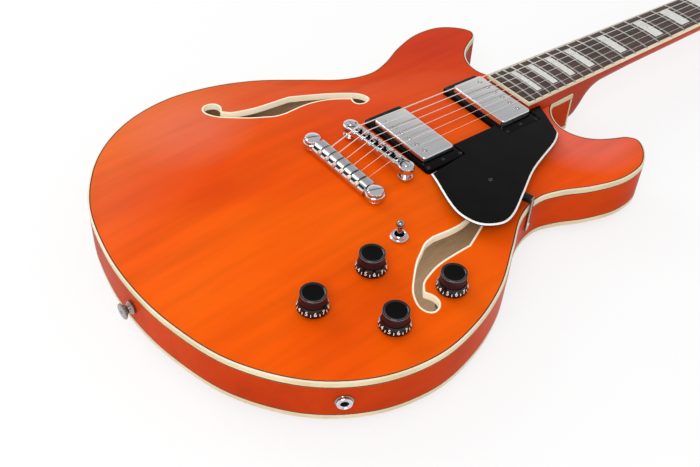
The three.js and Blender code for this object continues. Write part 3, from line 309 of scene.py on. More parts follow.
def grained(name, light, dark, roughness, stretch, pore):
    made, tree, shader = new_material(name, light, roughness)
    grain = noise(tree, 38.0, stretch, Detail=8.0, Roughness=0.65)
    pores = noise(tree, 210.0, stretch, Detail=2.0)
    base = ramp(tree, grain, [(0.35, dark), (0.62, light)])
    fine = ramp(tree, pores, [(0.38, pore), (0.5, 1.0)])
    feed(tree, mix(tree, "MULTIPLY", 0.8, base, fine), shader.inputs["Base Color"])
    bump(tree, shader, pores, 0.25, 0.2)
    return made, tree, shader


bare_wood, tree, shader = grained("bare_maple", "ecd4ac", "dcbc8c", 0.62, (2.2, 0.2, 1.4), 0.85)
spot = node(tree, "SeparateXYZ", {0: here(tree)}).outputs
inner_light = ranged(tree, spot["X"], -0.05, 0.1, 0.012, 0.12)
under_guard = ranged(tree, spot["Y"], -0.3, -0.21, 1.0, 0.1)
feed(tree, maths(tree, "MULTIPLY", inner_light, under_guard), shader.inputs["Emission Strength"])
feed(tree, "f0dcc4", shader.inputs["Emission Color"])
board_wood = grained("dark_fingerboard_wood", "4a3029", "2c1b17", 0.45, (3.0, 0.1, 1), 0.35)[0]
print("plastics and woods ready")

# %% [markdown]
# Chrome plate is a mirror that is never perfectly clean, so its roughness drifts a little. The same
# recipe with a higher roughness makes satin aluminium, nickel and the steel of strings and frets.

# %% Metals
def polished(name, colour, low, high, scale=45.0, brushed=(1, 1, 1), grain=0.0, metallic=1.0, **settings):
    made, tree, shader = new_material(name, colour, (low + high) / 2, metallic, **settings)
    uneven(tree, shader, low, high, scale, brushed)
    if grain:
        bump(tree, shader, noise(tree, 400.0, brushed, Detail=3.0), grain, 0.05)
    return made


chrome = polished("chrome_plate", "dadbde", 0.05, 0.11)
satin_metal = polished("satin_aluminium", "b9babc", 0.3, 0.4, 60.0, (0.2, 2, 1), 0.12)
nickel = polished("nickel_plate", "cbc9c5", 0.1, 0.18)
fret_metal = polished("fret_wire", "b4b2ae", 0.22, 0.34, 80.0, (1, 3, 1), 0.05)
string_metal = polished("plain_string_steel", "fff2e0", 0.24, 0.34, 80, metallic=0.05, specular=1.0)
# shaded_chrome is chrome painted darker: painted shade for the lever, bracket, jack nut and strap buttons.
shaded_chrome = polished("shaded_chrome", "96948f", 0.06, 0.14)
dark_steel = polished("dark_screw_steel", "4c4a4c", 0.16, 0.28, 90.0)
can_metal = polished("bare_steel", "8f8e8a", 0.35, 0.5, 50.0, (1, 1, 1), 0.1)
dark_slot = speckled("slot_shadow", "1a191a", "262425", 0.5, 90.0)
print("metals ready")

# %% [markdown]
# The floor is a large pale sheet. To the camera about three quarters of it shine white, and the
# rest is a plain matt surface that keeps the guitar's soft shadow. Far from the guitar it is all
# white, so that it meets the white world without an edge.

# %% Floor
bpy.ops.mesh.primitive_plane_add(size=14, location=(0, 0, -0.0005))
floor = bpy.context.object
floor.name = "studio_floor"
floor_look, tree, shader = new_material("pale_floor", "ffffff", 0.9, specular=0.0)
glow = node(tree, "Emission", {"Color": "ffffff", "Strength": 1.0}).outputs[0]
reach = node(tree, "VectorMath", {0: here(tree)}, operation="LENGTH").outputs["Value"]
white_share = ranged(tree, reach, 1.2, 3.5, 0.76, 1.0)
share = maths(tree, "MULTIPLY", seen(tree, "Is Camera Ray", "Is Glossy Ray"), white_share)
floor_mix = node(tree, "MixShader", {0: share, 1: shader.outputs[0], 2: glow}).outputs[0]
feed(tree, floor_mix, tree.nodes["Material Output"].inputs["Surface"])
floor.data.materials.append(floor_look)
print("floor", floor.dimensions[:])

# %% [markdown]
# Most pieces of a guitar are a section carried along something: round the body's edge, down the
# neck, or up a post. One helper does this as by hand: a circle is set to the first section, and its
# edge is extruded through the others. A turned piece is carried up through rings. A finished piece
# gets its material and joins its body, and the drawing's parts it replaces are hidden.

# %% Helpers for shaping
def deselect():
    if bpy.context.object and bpy.context.object.mode != "OBJECT":
        bpy.ops.object.mode_set(mode="OBJECT")
    bpy.ops.object.select_all(action="DESELECT")


def only(piece):
    deselect()
    piece.select_set(True)
    bpy.context.view_layer.objects.active = piece


def edit_all():
    bpy.ops.object.mode_set(mode="EDIT")
    bpy.ops.mesh.select_all(action="SELECT")


def faces_out():
    bpy.ops.mesh.select_all(action="SELECT")
    bpy.ops.mesh.normals_make_consistent(inside=False)
    bpy.ops.object.mode_set(mode="OBJECT")


def carried(name, sections, closed=False):
    deselect()
    bpy.ops.mesh.primitive_circle_add(vertices=len(sections[0]), radius=0.01, location=(0, 0, 0))
    piece = bpy.context.object
    piece.name = name
    for vertex, point in zip(piece.data.vertices, sections[0]):
        vertex.co = place(*point)
    edit_all()
    bpy.ops.mesh.select_mode(type="EDGE")
    before = sections[0]
    for after in list(sections[1:]) + ([sections[0]] if closed else []):
        tree = KDTree(len(before))
        for index, point in enumerate(before):
            tree.insert(place(*point), index)
        tree.balance()
        bpy.ops.mesh.extrude_edges_move()
        mesh = bmesh.from_edit_mesh(piece.data)
        for vertex in mesh.verts:
            if vertex.select:
                vertex.co = place(*after[tree.find(vertex.co)[1]])
        bmesh.update_edit_mesh(piece.data)
        before = after
    bpy.ops.mesh.select_all(action="SELECT")
    if closed:
        bpy.ops.mesh.remove_doubles(threshold=1e-6)
    else:
        bpy.ops.mesh.fill_holes(sides=0)
    faces_out()
    return piece


def ring(radius, x, y, z, steps=48):
    turns = [2 * math.pi * step / steps for step in range(steps)]
    return [(x + radius * math.cos(t), y + radius * math.sin(t), z) for t in turns]


def turned(name, profile, x=0.0, y=0.0, z=0.0, steps=48, closed=False):
    return carried(name, [ring(radius, x, y, z + height, steps) for radius, height in profile], closed)


def prism(name, loop, low, high):
    return carried(name, [[(x, y, z) for x, y in loop] for z in (low, high)])


def drill(radius, x, y, low, high, steps=24):
    return prism("saw", [point[:2] for point in ring(radius, x, y, 0, steps)], low, high)


def apply_modifier(piece, kind, **settings):
    only(piece)
    made = piece.modifiers.new(kind.lower(), kind)
    for name, value in settings.items():
        setattr(made, name, value)
    bpy.ops.object.modifier_apply(modifier=made.name)


def bevelled(piece, width, segments=2, angle=30):
    apply_modifier(piece, "BEVEL", width=width / 1000, segments=segments, limit_method="ANGLE",
                   angle_limit=math.radians(angle), use_clamp_overlap=True)
    return piece


def block(name, low, high, bevel=0.0, segments=2):
    deselect()
    a, b = place(*low), place(*high)
    bpy.ops.mesh.primitive_cube_add(size=1, location=(a + b) / 2)
    piece = bpy.context.object
    piece.name = name
    piece.scale = b - a
    bpy.ops.object.transform_apply(location=True, rotation=True, scale=True)
    return bevelled(piece, bevel, segments) if bevel else piece


def saw(low, high):
    return block("saw", low, high)


def cut(piece, tools, operation="DIFFERENCE"):
    for tool in tools:
        apply_modifier(piece, "BOOLEAN", operation=operation, object=tool, solver="MANIFOLD")
        bpy.data.objects.remove(tool)
    return piece


def joined(pieces, name):
    deselect()
    for piece in pieces:
        piece.select_set(True)
    bpy.context.view_layer.objects.active = pieces[0]
    if len(pieces) > 1:
        bpy.ops.object.join()
    pieces[0].name = name
    return pieces[0]


def moved(piece, matrix):
    piece.data.transform(matrix)
    return piece


def copied(piece, name, matrix):
    twin = bpy.data.objects.new(name, piece.data.copy())
    bpy.context.scene.collection.objects.link(twin)
    return moved(twin, matrix)


def done(piece, look, body="guitar", nodes=(), angle=32):
    only(piece)
    piece.data.materials.clear()
    piece.data.materials.append(look)
    bpy.ops.object.shade_smooth_by_angle(angle=math.radians(angle))
    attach(piece, body)
    if nodes:
        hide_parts(*nodes)
    deselect()
    print(piece.name, len(piece.data.polygons), "faces")
    return piece


METAL, PLASTIC = "chrome_hardware", "black_plastic"
print("most fittings go into the slots", METAL, "and", PLASTIC)

# %% [markdown]
# The outline of the body was measured from the photograph on the treble side and mirrored. A
# smooth curve through a few chosen points keeps the waist and horns free of bumps.

# %% Outline of the body
BODY_SHARES = [
    (0, -1), (0.261, -0.982), (0.541, -0.919), (0.787, -0.786), (0.942, -0.609),
    (1, -0.409), (0.967, -0.22), (0.88, -0.047), (0.752, 0.114), (0.639, 0.254),
    (0.596, 0.381), (0.624, 0.487), (0.687, 0.602), (0.732, 0.737), (0.722, 0.86),
    (0.662, 0.941), (0.586, 0.981), (0.531, 0.958), (0.499, 0.907), (0.461, 0.852),
    (0.411, 0.811), (0.351, 0.788), (0.286, 0.784), (0.226, 0.801), (0.173, 0.835)]
TONGUE_SHARES = (0.875, 0.91, 1)


def smooth_line(points, steps):
    line = []
    last = len(points) - 1
    for index in range(last):
        around = [points[min(max(index + k, 0), last)] for k in (-1, 0, 1, 2)]
        for step in range(steps):
            t = step / steps
            spot = []
            for a, b, c, d in zip(*around):
                v0, v1 = (c - a) / 2, (d - b) / 2
                cubic, square = 2 * b - 2 * c + v0 + v1, 3 * c - 3 * b - 2 * v0 - v1
                spot.append(cubic * t ** 3 + square * t * t + v0 * t + b)
            line.append(tuple(spot))
    return line + [tuple(points[last])]


half_body = [(x * BODY_HALF, y * (TAIL_REACH if y < 0 else NECK_REACH)) for x, y in BODY_SHARES]
half_body += [(28.5, share * NECK_REACH) for share in TONGUE_SHARES]
edge_line = smooth_line([(-x, y) for x, y in reversed(half_body[1:])] + half_body, 7)


def inset(loop, distance):
    moved_loop = []
    for index, spot in enumerate(loop):
        before, point, after = Vector(loop[index - 1]), Vector(spot), Vector(loop[(index + 1) % len(loop)])
        first, second = (point - before).normalized(), (after - point).normalized()
        lean = Vector((-first.y - second.y, first.x + second.x))
        moved_loop.append((point + lean * distance / max(1 + first.dot(second), 0.5))[:])
    return moved_loop


def carried_round(name, loop, profile, floor=lambda x, y: 0, closed=True):
    rows = [[(x, y, floor(x, y) + z) for x, y in inset(loop, distance)] for distance, z in profile]
    return carried(name, rows, closed)


print("outline points", len(edge_line))

# %% [markdown]
# An arched plate is pressed from laminated wood: high along the middle, with a shallow dish just
# inside the edge. A fine grid is lifted to that curve, thickened, and trimmed to the outline.

# %% The curve of the plates
def measured(point):
    return point.x * 1000, point.y * 1000 - SADDLE_Y, point.z * 1000


TOP_RISE, BACK_RISE, ROUNDNESS = 13, 15.5, 2.3
GRID_SIZE = (0.408, 0.5, 1)


def arch_share(x, y, crown):
    half = 192 - 74 * ease(y, -80, 90) + 22 * ease(y, 90, 190)
    reach = crown + 250 if y < crown else 185 - crown
    radius = ((abs(x) / half) ** ROUNDNESS + (abs(y - crown) / reach) ** ROUNDNESS) ** (1 / ROUNDNESS)
    return max(0, 1 - radius * radius) ** 1.15


def top_z(x, y):
    return RIM_TOP + TOP_RISE * arch_share(x, y, -40)


def back_z(x, y):
    return BACK_EDGE - min(BACK_EDGE, BACK_RISE * arch_share(x, y, 12))


def plate(name, height, thickness):
    deselect()
    middle = place(0, (NECK_REACH - TAIL_REACH) / 2, 0)
    bpy.ops.mesh.primitive_grid_add(x_subdivisions=150, y_subdivisions=180, size=1, location=middle)
    piece = bpy.context.object
    piece.name = name
    piece.scale = GRID_SIZE
    bpy.ops.object.transform_apply(location=True, rotation=True, scale=True)
    for vertex in piece.data.vertices:
        vertex.co.z = height(*measured(vertex.co)[:2]) / 1000
    edit_all()
    bpy.ops.mesh.extrude_region_move(TRANSFORM_OT_translate={"value": (0, 0, thickness / 1000)})
    faces_out()
    return piece


print("plate height at the middle", round(top_z(0, -40), 2))

# %% [markdown]
# The sound holes are drawn as four curves that meet in points. The top is trimmed with the outline,
# then opened for them, the pickups, the posts and the controls. The saw is a boolean, because each
# opening is a clean cut straight down.

# %% Arched top and back
F_RUNS = [
    [(0.179, -0.393), (0.131, -0.352), (0.1, -0.276), (0.078, -0.19), (0.068, -0.076), (0.062, 0.066)],
    [(0.062, 0.066), (0.001, 0.199), (-0.072, 0.342), (-0.159, 0.461), (-0.228, 0.497),
     (-0.287, 0.486), (-0.312, 0.428), (-0.297, 0.383), (-0.259, 0.37), (-0.212, 0.384)],
    [(-0.212, 0.384), (-0.145, 0.284), (-0.109, 0.179), (-0.099, 0.069), (-0.11, -0.076)],
    [(-0.11, -0.076), (-0.097, -0.152), (-0.062, -0.214), (-0.007, -0.301), (0.097, -0.417),
     (0.159, -0.466), (0.23, -0.492), (0.286, -0.481), (0.315, -0.445), (0.308, -0.399),
     (0.278, -0.369), (0.228, -0.366), (0.179, -0.393)]]
RING_PLACES = {"bridge": (43.5, 15.2), "neck": (144.6, 9.8)}
KNOBS = {"bridge_volume": (103, -92, 66.53), "bridge_tone": (107, -154, 63.668),
         "neck_tone": (157.5, -113, 61.325), "neck_volume": (155, -50.4, 62.066)}
TOGGLE = (89.7, -50.7)
POST_X, STUD_X, TAIL_Y = 37, 44.2, -39.7
POSTS = {"bass": (-POST_X, -1.5), "treble": (POST_X, 1.5)}
STUDS = {"bass": (-STUD_X, TAIL_Y), "treble": (STUD_X, TAIL_Y)}
HOLE_X, HOLE_Y, HOLE_LENGTH = 120, -14, 145


def sound_hole(side, growth=0.0):
    loop = []
    for run in F_RUNS:
        loop += smooth_line([(HOLE_X + x * HOLE_LENGTH, HOLE_Y + y * HOLE_LENGTH) for x, y in run], 4)[:-1]
    if side < 0:
        loop = [(-x, y) for x, y in reversed(loop)]
    return inset(loop, -growth)


def rounded_rectangle(width, length, corner, x=0.0, y=0.0, steps=6):
    loop = []
    for quarter, (sx, sy) in enumerate(((1, -1), (1, 1), (-1, 1), (-1, -1))):
        for step in range(steps + 1):
            t = (quarter - 1 + step / steps) * math.pi / 2
            loop.append((x + sx * (width / 2 - corner) + corner * math.cos(t),
                         y + sy * (length / 2 - corner) + corner * math.sin(t)))
    return loop


def second_look(piece, look, is_second):
    piece.data.materials.append(look)
    for face in piece.data.polygons:
        if is_second(face.normal.z, *measured(face.center)):
            face.material_index = len(piece.data.materials) - 1


plate_line = inset(edge_line, BINDING + GAP)
top = cut(plate("arched_top", top_z, -PLATE), [prism("trim", plate_line, 20, 90)], "INTERSECT")
saws = [prism("saw", sound_hole(side, GAP), 20, 90) for side in (-1, 1)]
saws += [prism("saw", rounded_rectangle(72, 39, 4, 0, y), 20, 90) for y, rise in RING_PLACES.values()]
for radius, spots in ((5, KNOBS), (6.1, {"toggle": TOGGLE}), (4.3, STUDS), (3.7, POSTS)):
    saws += [drill(radius, *spot[:2], 20, 90, 20) for spot in spots.values()]
done(cut(top, saws), top_lacquer, nodes=["top_plate"])
second_look(top, bare_wood, lambda lean, x, y, z: lean < 0.5 and z < top_z(x, y) - 0.5)

back = cut(plate("arched_back", back_z, PLATE), [prism("trim", plate_line, -5, 60)], "INTERSECT")
done(back, side_lacquer, nodes=["back_plate"])
second_look(back, bare_wood, lambda lean, x, y, z: lean > 0.5)

# %% [markdown]
# The sides are bent from thin wood, with a lining strip glued inside along both edges to give the
# plates something to stand on. Seen through the sound holes, that lining is what looks right. Saws
# open them for the neck's tenon, for both corners of the tongue and for the jack.

# %% Sides with their linings
JACK_TURN = math.degrees(math.atan2(-0.5475911, 0.8367460))
JACK_SEAT = seated((176.276, -176.385, RIM_TOP - 22), turn_by(JACK_TURN, "Z") @ turn_by(90, "Y"))
rim_low, rim_high = BACK_EDGE + PLATE + GAP, RIM_TOP - PLATE - GAP
sides = carried_round("sides", edge_line, [
    (0, rim_low), (0, rim_high), (8.2, rim_high), (8.2, rim_high - 7), (3.2, rim_high - 12),
    (3.2, rim_low + 12), (8.2, rim_low + 7), (8.2, rim_low)])
tenon_saw = saw((-15.3, 193, 22.2), (15.3, 240, 48.8))
corner_saws = [saw((left, 233.5, 0), (left + 5, 240, 80)) for left in (26, -31)]
jack_saw = moved(turned("saw", [(5.5, -15), (5.5, 3)], steps=32), JACK_SEAT)
cut(sides, [tenon_saw, *corner_saws, jack_saw])
done(sides, side_lacquer, nodes=["rim"])
edge_tree = KDTree(len(edge_line))
for index, (x, y) in enumerate(edge_line):
    edge_tree.insert((x, y, 0), index)
edge_tree.balance()


def from_edge(x, y):
    spot, index = Vector((x, y)), edge_tree.find((x, y, 0))[1]
    ways = []
    for start in (index - 1, index):
        a, b = Vector(edge_line[start]), Vector(edge_line[(start + 1) % len(edge_line)])
        share = min(1, max(0, (spot - a).dot(b - a) / (b - a).length_squared))
        ways.append((spot - a.lerp(b, share)).length)
    return min(ways)


second_look(sides, bare_wood, lambda lean, x, y, z: from_edge(x, y) > 1)

# %% [markdown]
# Binding covers the seam between plate and side. Its outer edge is scraped round, which is what
# catches the light, so the section has three small steps there. A vertical strip closes each corner
# of the tongue beside the neck. A thin dark strip in the gap on both sides of the binding is painted
# shade in the seams, and the strip's upright faces get a darker cream as painted shade, because they
# catch less light than its top.

# %% Binding round the body
SEAM = 0.75
# Painted shade: a dark brown strip fills the gaps on both sides of the binding.
seam = speckled("seam_painted_shade", "58301a", "402010", 0.5, 80.0)
low, high, under = RIM_TOP - PLATE, RIM_TOP, BACK_EDGE + PLATE
inward, past = BINDING - SEAM, BINDING + GAP - 0.02
top_strip = carried_round("top_binding_strip", edge_line, [
    (0, low + SEAM), (0, high - 1.2), (0.12, high - 0.6), (0.4, high - 0.2), (0.9, high),
    (inward, high), (inward, low + SEAM)])
corners = [block("corner", (min(x), 233.8, rim_low), (max(x), 236, low + 0.5), 0.3)
           for x in ((26.3, 28.5), (-26.3, -28.5))]
done(joined([top_strip, *corners], "top_binding_strip"), cream, nodes=["top_binding"])
seam_spans = ((inward, past, high - 0.8, high - 0.02), (0.06, 1.5, rim_high, low + SEAM),
              (0.06, 1.5, under - SEAM, rim_low))
seams = [carried_round("seam", edge_line, [(near, first), (near, second), (far, second), (far, first)])
         for near, far, first, second in seam_spans]
done(joined(seams, "binding_seams"), seam)
back_strip = carried_round("back_binding_strip", edge_line, [
    (0, under - SEAM), (BINDING, under - SEAM), (BINDING, BACK_EDGE), (0.9, BACK_EDGE),
    (0.4, BACK_EDGE + 0.2), (0.12, BACK_EDGE + 0.6), (0, BACK_EDGE + 1.2)])
done(back_strip, cream, nodes=["back_binding"])
# The upright faces of both strips get the darker cream as painted shade.
for strip in (top_strip, back_strip):
    second_look(strip, cream_painted_shade, lambda lean, x, y, z: abs(lean) < 0.3)

# The cream edges of the sound holes glow a little by themselves as painted light.
hole_edge = [(0, -PLATE), (0, -0.15), (0.2, 0.05), (1.2, 0.08), (1.45, -0.1), (1.5, -PLATE)]
for side, name in ((-1, "bass"), (1, "treble")):
    strip = carried_round(f"{name}_sound_hole_edge", sound_hole(side), hole_edge, top_z)
    done(strip, cream_edge, nodes=[f"{name}_f_hole_binding"])

# %% [markdown]
# The neck is carved from one piece with its heel and headstock. Its back is a squashed circle that
# turns into a square foot where it meets the body, so the sections change their squareness on the
# way. The strip that carries the fingerboard over the body and the tilted headstock join it.

# %% Neck with heel, board support and headstock
NECK_LEAN = 2.7
PITCH = math.tan(math.radians(NECK_LEAN))
BOARD_END = 167.4
SCALE = 628.0
NUT_BACK = SCALE + 4.5
NUT_WIDTH, LAST_FRET_WIDTH = 43, 57
BOARD_RISE, BOARD_THICKNESS, BOARD_RADIUS = 19.2, 5.5, 305
DEPTH_AT_HEEL, DEPTH_AT_NUT = 20.5, 15
HEEL_START, HEEL_LENGTH = NECK_REACH + GAP, 47
HEEL_END = HEEL_START + HEEL_LENGTH
HEEL = [(0, 1), (0.24, 0.985), (0.38, 0.8), (0.54, 0.46), (0.74, 0.2), (1, 0.06)]
HEAD_TILT, HEAD_HALF, HEAD_LENGTH = 0.16012458, 41, 172
HEAD_SHARES = [(0.56, 0.06), (0.72, 0.13), (0.88, 0.2), (0.93, 0.3), (0.95, 0.52), (0.98, 0.78),
               (1, 0.9), (0.9, 0.975), (0.66, 1), (0.42, 0.965), (0.2, 0.945), (0, 0.94)]
TUNER_SEATS = {f"{name}_{row + 1}": (side * 26, 45 + 43 * row)
               for side, name in ((-1, "bass"), (1, "treble")) for row in range(3)}


def fret_y(number):
    return SCALE * 2 ** (-number / 12)


def board_half(y):
    return (NUT_WIDTH + (LAST_FRET_WIDTH - NUT_WIDTH) * (SCALE - y) / (SCALE - fret_y(22))) / 2


def board_z(x, y):
    return RIM_TOP + BOARD_RISE - PITCH * (y - BOARD_END) - x * x / (2 * BOARD_RADIUS)


def neck_top(y):
    return board_z(0, y) - BOARD_THICKNESS


def shaft_depth(y):
    return blend(DEPTH_AT_HEEL, DEPTH_AT_NUT, (y - HEEL_END) / (NUT_BACK - HEEL_END))


def neck_section(y, depth, square, corners=28):
    section = []
    for corner in range(corners + 1):
        t = math.pi * corner / corners
        across = math.copysign(abs(math.cos(t)) ** (2 / square), math.cos(t))
        section.append((board_half(y) * across, y, neck_top(y) - depth * math.sin(t) ** (2 / square)))
    return section


sections = []
for along, drop in smooth_line(HEEL, 4):
    y = HEEL_START + along * HEEL_LENGTH
    extra = neck_top(y) - BACK_EDGE - GAP - shaft_depth(y)
    sections.append(neck_section(y, shaft_depth(y) + drop * extra, blend(2.3, 4, drop)))
for step in range(1, 9):
    y = blend(HEEL_END, NUT_BACK, step / 8)
    sections.append(neck_section(y, shaft_depth(y), 2.3))
shaft = carried("neck_shaft", sections)
sections = []
for y in (BOARD_END, 180, 200, 215, 237.5):
    half = board_half(y)
    foot = [(x, y, top_z(x, y) + GAP) for x in (-half, -half / 2, 0, half / 2, half)]
    sections.append(foot + [(half, y, neck_top(y)), (-half, y, neck_top(y))])
support = carried("board_support", sections)
on_head = seated((0, NUT_BACK, neck_top(NUT_BACK)), Matrix.Rotation(-HEAD_TILT, 4, "X"))
half_head = smooth_line([(21.5, 0)] + [(x * HEAD_HALF, y * HEAD_LENGTH) for x, y in HEAD_SHARES], 4)
head_line = half_head + [(-x, y) for x, y in reversed(half_head[:-1])]
head = bevelled(prism("headstock", head_line, -13, 0), 1.2, 3, 50)
cut(head, [drill(4.9, x, y, -20, 5) for x, y in TUNER_SEATS.values()])
neck = joined([shaft, support, moved(head, on_head)], "carved_neck")
done(neck, neck_lacquer, nodes=["neck"])

# %% [markdown]
# The fingerboard's face is part of a large cylinder. Frets are half-round wire hammered across it,
# running out over the binding, and each spaced by the twelfth root of two. Pearl blocks lie between
# them as position marks.

# %% Fingerboard, frets and inlays
def board_arc(y, half, steps, rise=0.0):
    spots = [half * (1 - step / steps) for step in range(2 * steps + 1)]
    return [(x, y, board_z(x, y) + rise) for x in spots]


STRIP, FRET_HEIGHT, INLAY_SHARE = 2.1, 1.3, 0.66
rows = []
for y in (BOARD_END + STRIP, 300, 450, SCALE - GAP):
    half = board_half(y) - STRIP
    rows.append([(half, y, neck_top(y) + GAP)] + board_arc(y, half, 8) + [(-half, y, neck_top(y) + GAP)])
done(carried("fingerboard_wood", rows), board_wood, nodes=["fingerboard"])

frets = []
for number in range(1, 23):
    y, rows = fret_y(number), []
    for step in range(9):
        x = (board_half(y) - 0.15) * (step / 4 - 1)
        crown = FRET_HEIGHT * (0.55 if step in (0, 8) else 1)
        rows.append([(x, y + math.cos(t), board_z(x, y) - 0.2 + crown * math.sin(t))
                     for t in [math.pi * turn / 8 for turn in range(9)]])
    frets.append(carried(f"fret_{number}", rows))
done(joined(frets, "fret_wires"), fret_metal, angle=40)

pearl, tree, shader = new_material("pearl_inlay", "cfd2d0", 0.22, coat=0.4)
waves = noise(tree, 120.0, (1, 2.5, 1), Detail=5.0, Distortion=1.6)
shimmer = ramp(tree, waves, [(0.3, "c2c4c0"), (0.45, "f0f0ea"), (0.58, "d6d8d6"), (0.75, "faf8f0")])
feed(tree, shimmer, shader.inputs["Base Color"])
blocks = []
for number in (1, 3, 5, 7, 9, 12, 15, 17, 19, 21):
    before, after, rows = fret_y(number - 1), fret_y(number), []
    room = (before - after) * 0.2
    for y in (after + room, before - room):
        face = board_arc(y, board_half((before + after) / 2) * INLAY_SHARE, 5, 0.03)
        rows.append(face + [(x, y, z - 0.6) for x, y, z in reversed(face)])
    blocks.append(carried(f"inlay_{number}", rows))
done(joined(blocks, "pearl_inlays"), pearl)

# %% [markdown]
# Small screws turn up on the rings, guard, covers and bracket. Two are turned with a shallow dome,
# one with a slot and one with a cross, and then copied wherever a maker would drive them.

# %% Screws
def screw_model(radius, height, slot, cross=False):
    model = turned("screw", [(radius, -1.2), (radius, height * 0.3), (radius * 0.9, height * 0.7),
                             (radius * 0.6, height * 0.95), (radius * 0.15, height)], steps=20)
    reach, floor = (radius * 0.6, 0) if cross else (radius * 1.1, height * 0.35)
    saws = [saw((-reach, -slot / 2, floor), (reach, slot / 2, height * 2))]
    if cross:
        saws.append(saw((-slot / 2, -reach, floor), (slot / 2, reach, height * 2)))
    return cut(model, saws)


def put(model, name, spot, lean=Matrix.Identity(4)):
    return copied(model, name, seated(spot, lean))


slot_screw = screw_model(2.2, 0.7, 0.6)
cross_screw = screw_model(1.7, 0.7, 0.5, cross=True)
print("screws", slot_screw.dimensions[:], cross_screw.dimensions[:])

# %% [markdown]
# A pickup is a folded metal cover with six adjusting screws along one side, sitting in a sloped black
# ring. The ring's foot follows the arch of the top, so its lower edge is cut into short steps. A thin
# dark ring round each adjusting screw is painted shade for the gap in the cover.

# %% Pickups and their rings
COVER_TOPS = {"bridge": 20.6, "neck": 16.8}
SPREAD = 52
lean = turn_by(-NECK_LEAN, "X")


def stepped(loop, count=8):
    steps = []
    for index, spot in enumerate(loop):
        after = loop[(index + 1) % len(loop)]
        pieces = count if math.dist(spot, after) > 5 else 1
        steps += [tuple(blend(a, b, step / pieces) for a, b in zip(spot, after)) for step in range(pieces)]
    return steps


def slope_z(rise, middle, y):
    return RIM_TOP + rise - PITCH * (y - middle)


def string_x(string, spread=SPREAD):
    return spread * (string / 5 - 0.5)


for name, (y0, rise) in RING_PLACES.items():
    outer = stepped(rounded_rectangle(91, 45, 3.5, 0, y0, 5))
    inner = stepped(rounded_rectangle(71.5, 38.6, 3.2, 0, y0, 5))
    rows = [[(x, y, top_z(x, y) + GAP) for x, y in outer]]
    for loop, inward, drop in ((outer, 0, -1.4), (outer, 0.25, -0.7), (outer, 0.7, -0.2), (outer, 1.4, 0),
                               (inner, -0.5, 0), (inner, 0, -0.5)):
        rows.append([(x, y, slope_z(rise, y0, y) + drop) for x, y in inset(loop, inward)])
    rows.append([(x, y, top_z(x, y) + GAP) for x, y in inner])
    done(carried(f"{name}_pickup_frame", rows, closed=True), black_gloss,
         nodes=[f"{name}_pickup_ring"])
    spots = [(sx * 42.6, y0 + sy * 19.6) for sx in (-1, 1) for sy in (-1, 1)] + [(-40.6, y0), (40.6, y0)]
    fixings = [put(cross_screw, "ring_screw", (x, y, slope_z(rise, y0, y)), lean) for x, y in spots]
    done(joined(fixings, f"{name}_ring_screws"), dark_steel)

    body = f"{name}_pickup"
    cover = carried_round(f"{body}_cover", rounded_rectangle(70.3, 37.4, 3.2), [
        (0, -20), (0, -2.0), (0.15, -1.2), (0.6, -0.5), (1.2, -0.12), (2.0, 0)], closed=False)
    to_seat = seated((0, y0, RIM_TOP + COVER_TOPS[name]), lean)
    row_y = 9.7 if name == "neck" else -9.7
    spots = [(string_x(string), row_y, 0) for string in range(6)]
    poles = [copied(slot_screw, "pole", to_seat @ seated(spot, Matrix.Rotation(0.5 * spot[0], 4, "Z")))
             for spot in spots]
    # Painted shade: a thin dark ring round each pole screw.
    gap_shades = [turned("pole_rim", [(2.2, 0.02), (2.5, 0.02), (2.5, -0.3), (2.2, -0.3)], *spot, 24, True)
            for spot in spots]
    done(moved(joined(gap_shades, f"{name}_pole_gap_shades"), to_seat), dark_slot, body)
    done(moved(cover, to_seat), chrome, body, [body])
    done(joined(poles, f"{name}_pole_screws"), nickel, body)

# %% [markdown]
# The guard is cut from layered plastic, black over white over black, with a slanted edge that shows
# the white layer as a bright line. So it is built as three thin sheets, each a little smaller.

# %% Pickguard and its bracket
GUARD = [(0.37, 0.092), (0.46, 0.07), (0.635, 0.022), (0.765, 0), (0.879, 0.013), (0.953, 0.054),
         (1, 0.137), (0.971, 0.232), (0.864, 0.378), (0.72, 0.571), (0.598, 0.817), (0.526, 0.905)]
GUARD_WIDTH, GUARD_START, GUARD_LENGTH, GUARD_THICKNESS = 133, 4.7, 178.5, 2.6
guard_line = smooth_line([(x * GUARD_WIDTH, GUARD_START + y * GUARD_LENGTH) for x, y in GUARD], 5)
board_side, ring_side = board_half(BOARD_END) + 0.9, 45.8
notch = [(board_half(183.2) + 0.9, 183.2), (board_side, 167.7), (ring_side, 167.7), (ring_side, 121.8),
         (board_side, 121.8), (board_side, 66.3), (ring_side, 66.3)]


def guard_z(y):
    return slope_z(16.8, 18, y)


for name, low, high, look, nodes in (
        ("guard_base", (0, 0, -GUARD_THICKNESS), (0, 0, -1.8), black_gloss, ["pickguard"]),
        ("guard_white_layer", (0, 1.2, -1.8), (1.45, 1.2, -0.7), white_layer, []),
        ("guard_face", (1.45, 0, -0.7), (1.85, 0.2, 0), black_gloss, [])):
    rows = []
    for free, straight, drop in (low, high):
        free, straight = inset(guard_line + notch, free), inset(guard_line + notch, straight)
        line = free[:len(guard_line)] + straight[len(guard_line):]
        rows.append([(x, y, guard_z(y) + drop) for x, y in line])
    done(carried(name, rows), look, nodes=nodes)
done(put(slot_screw, "guard_screw", (86, 59, guard_z(59)), lean), dark_steel)

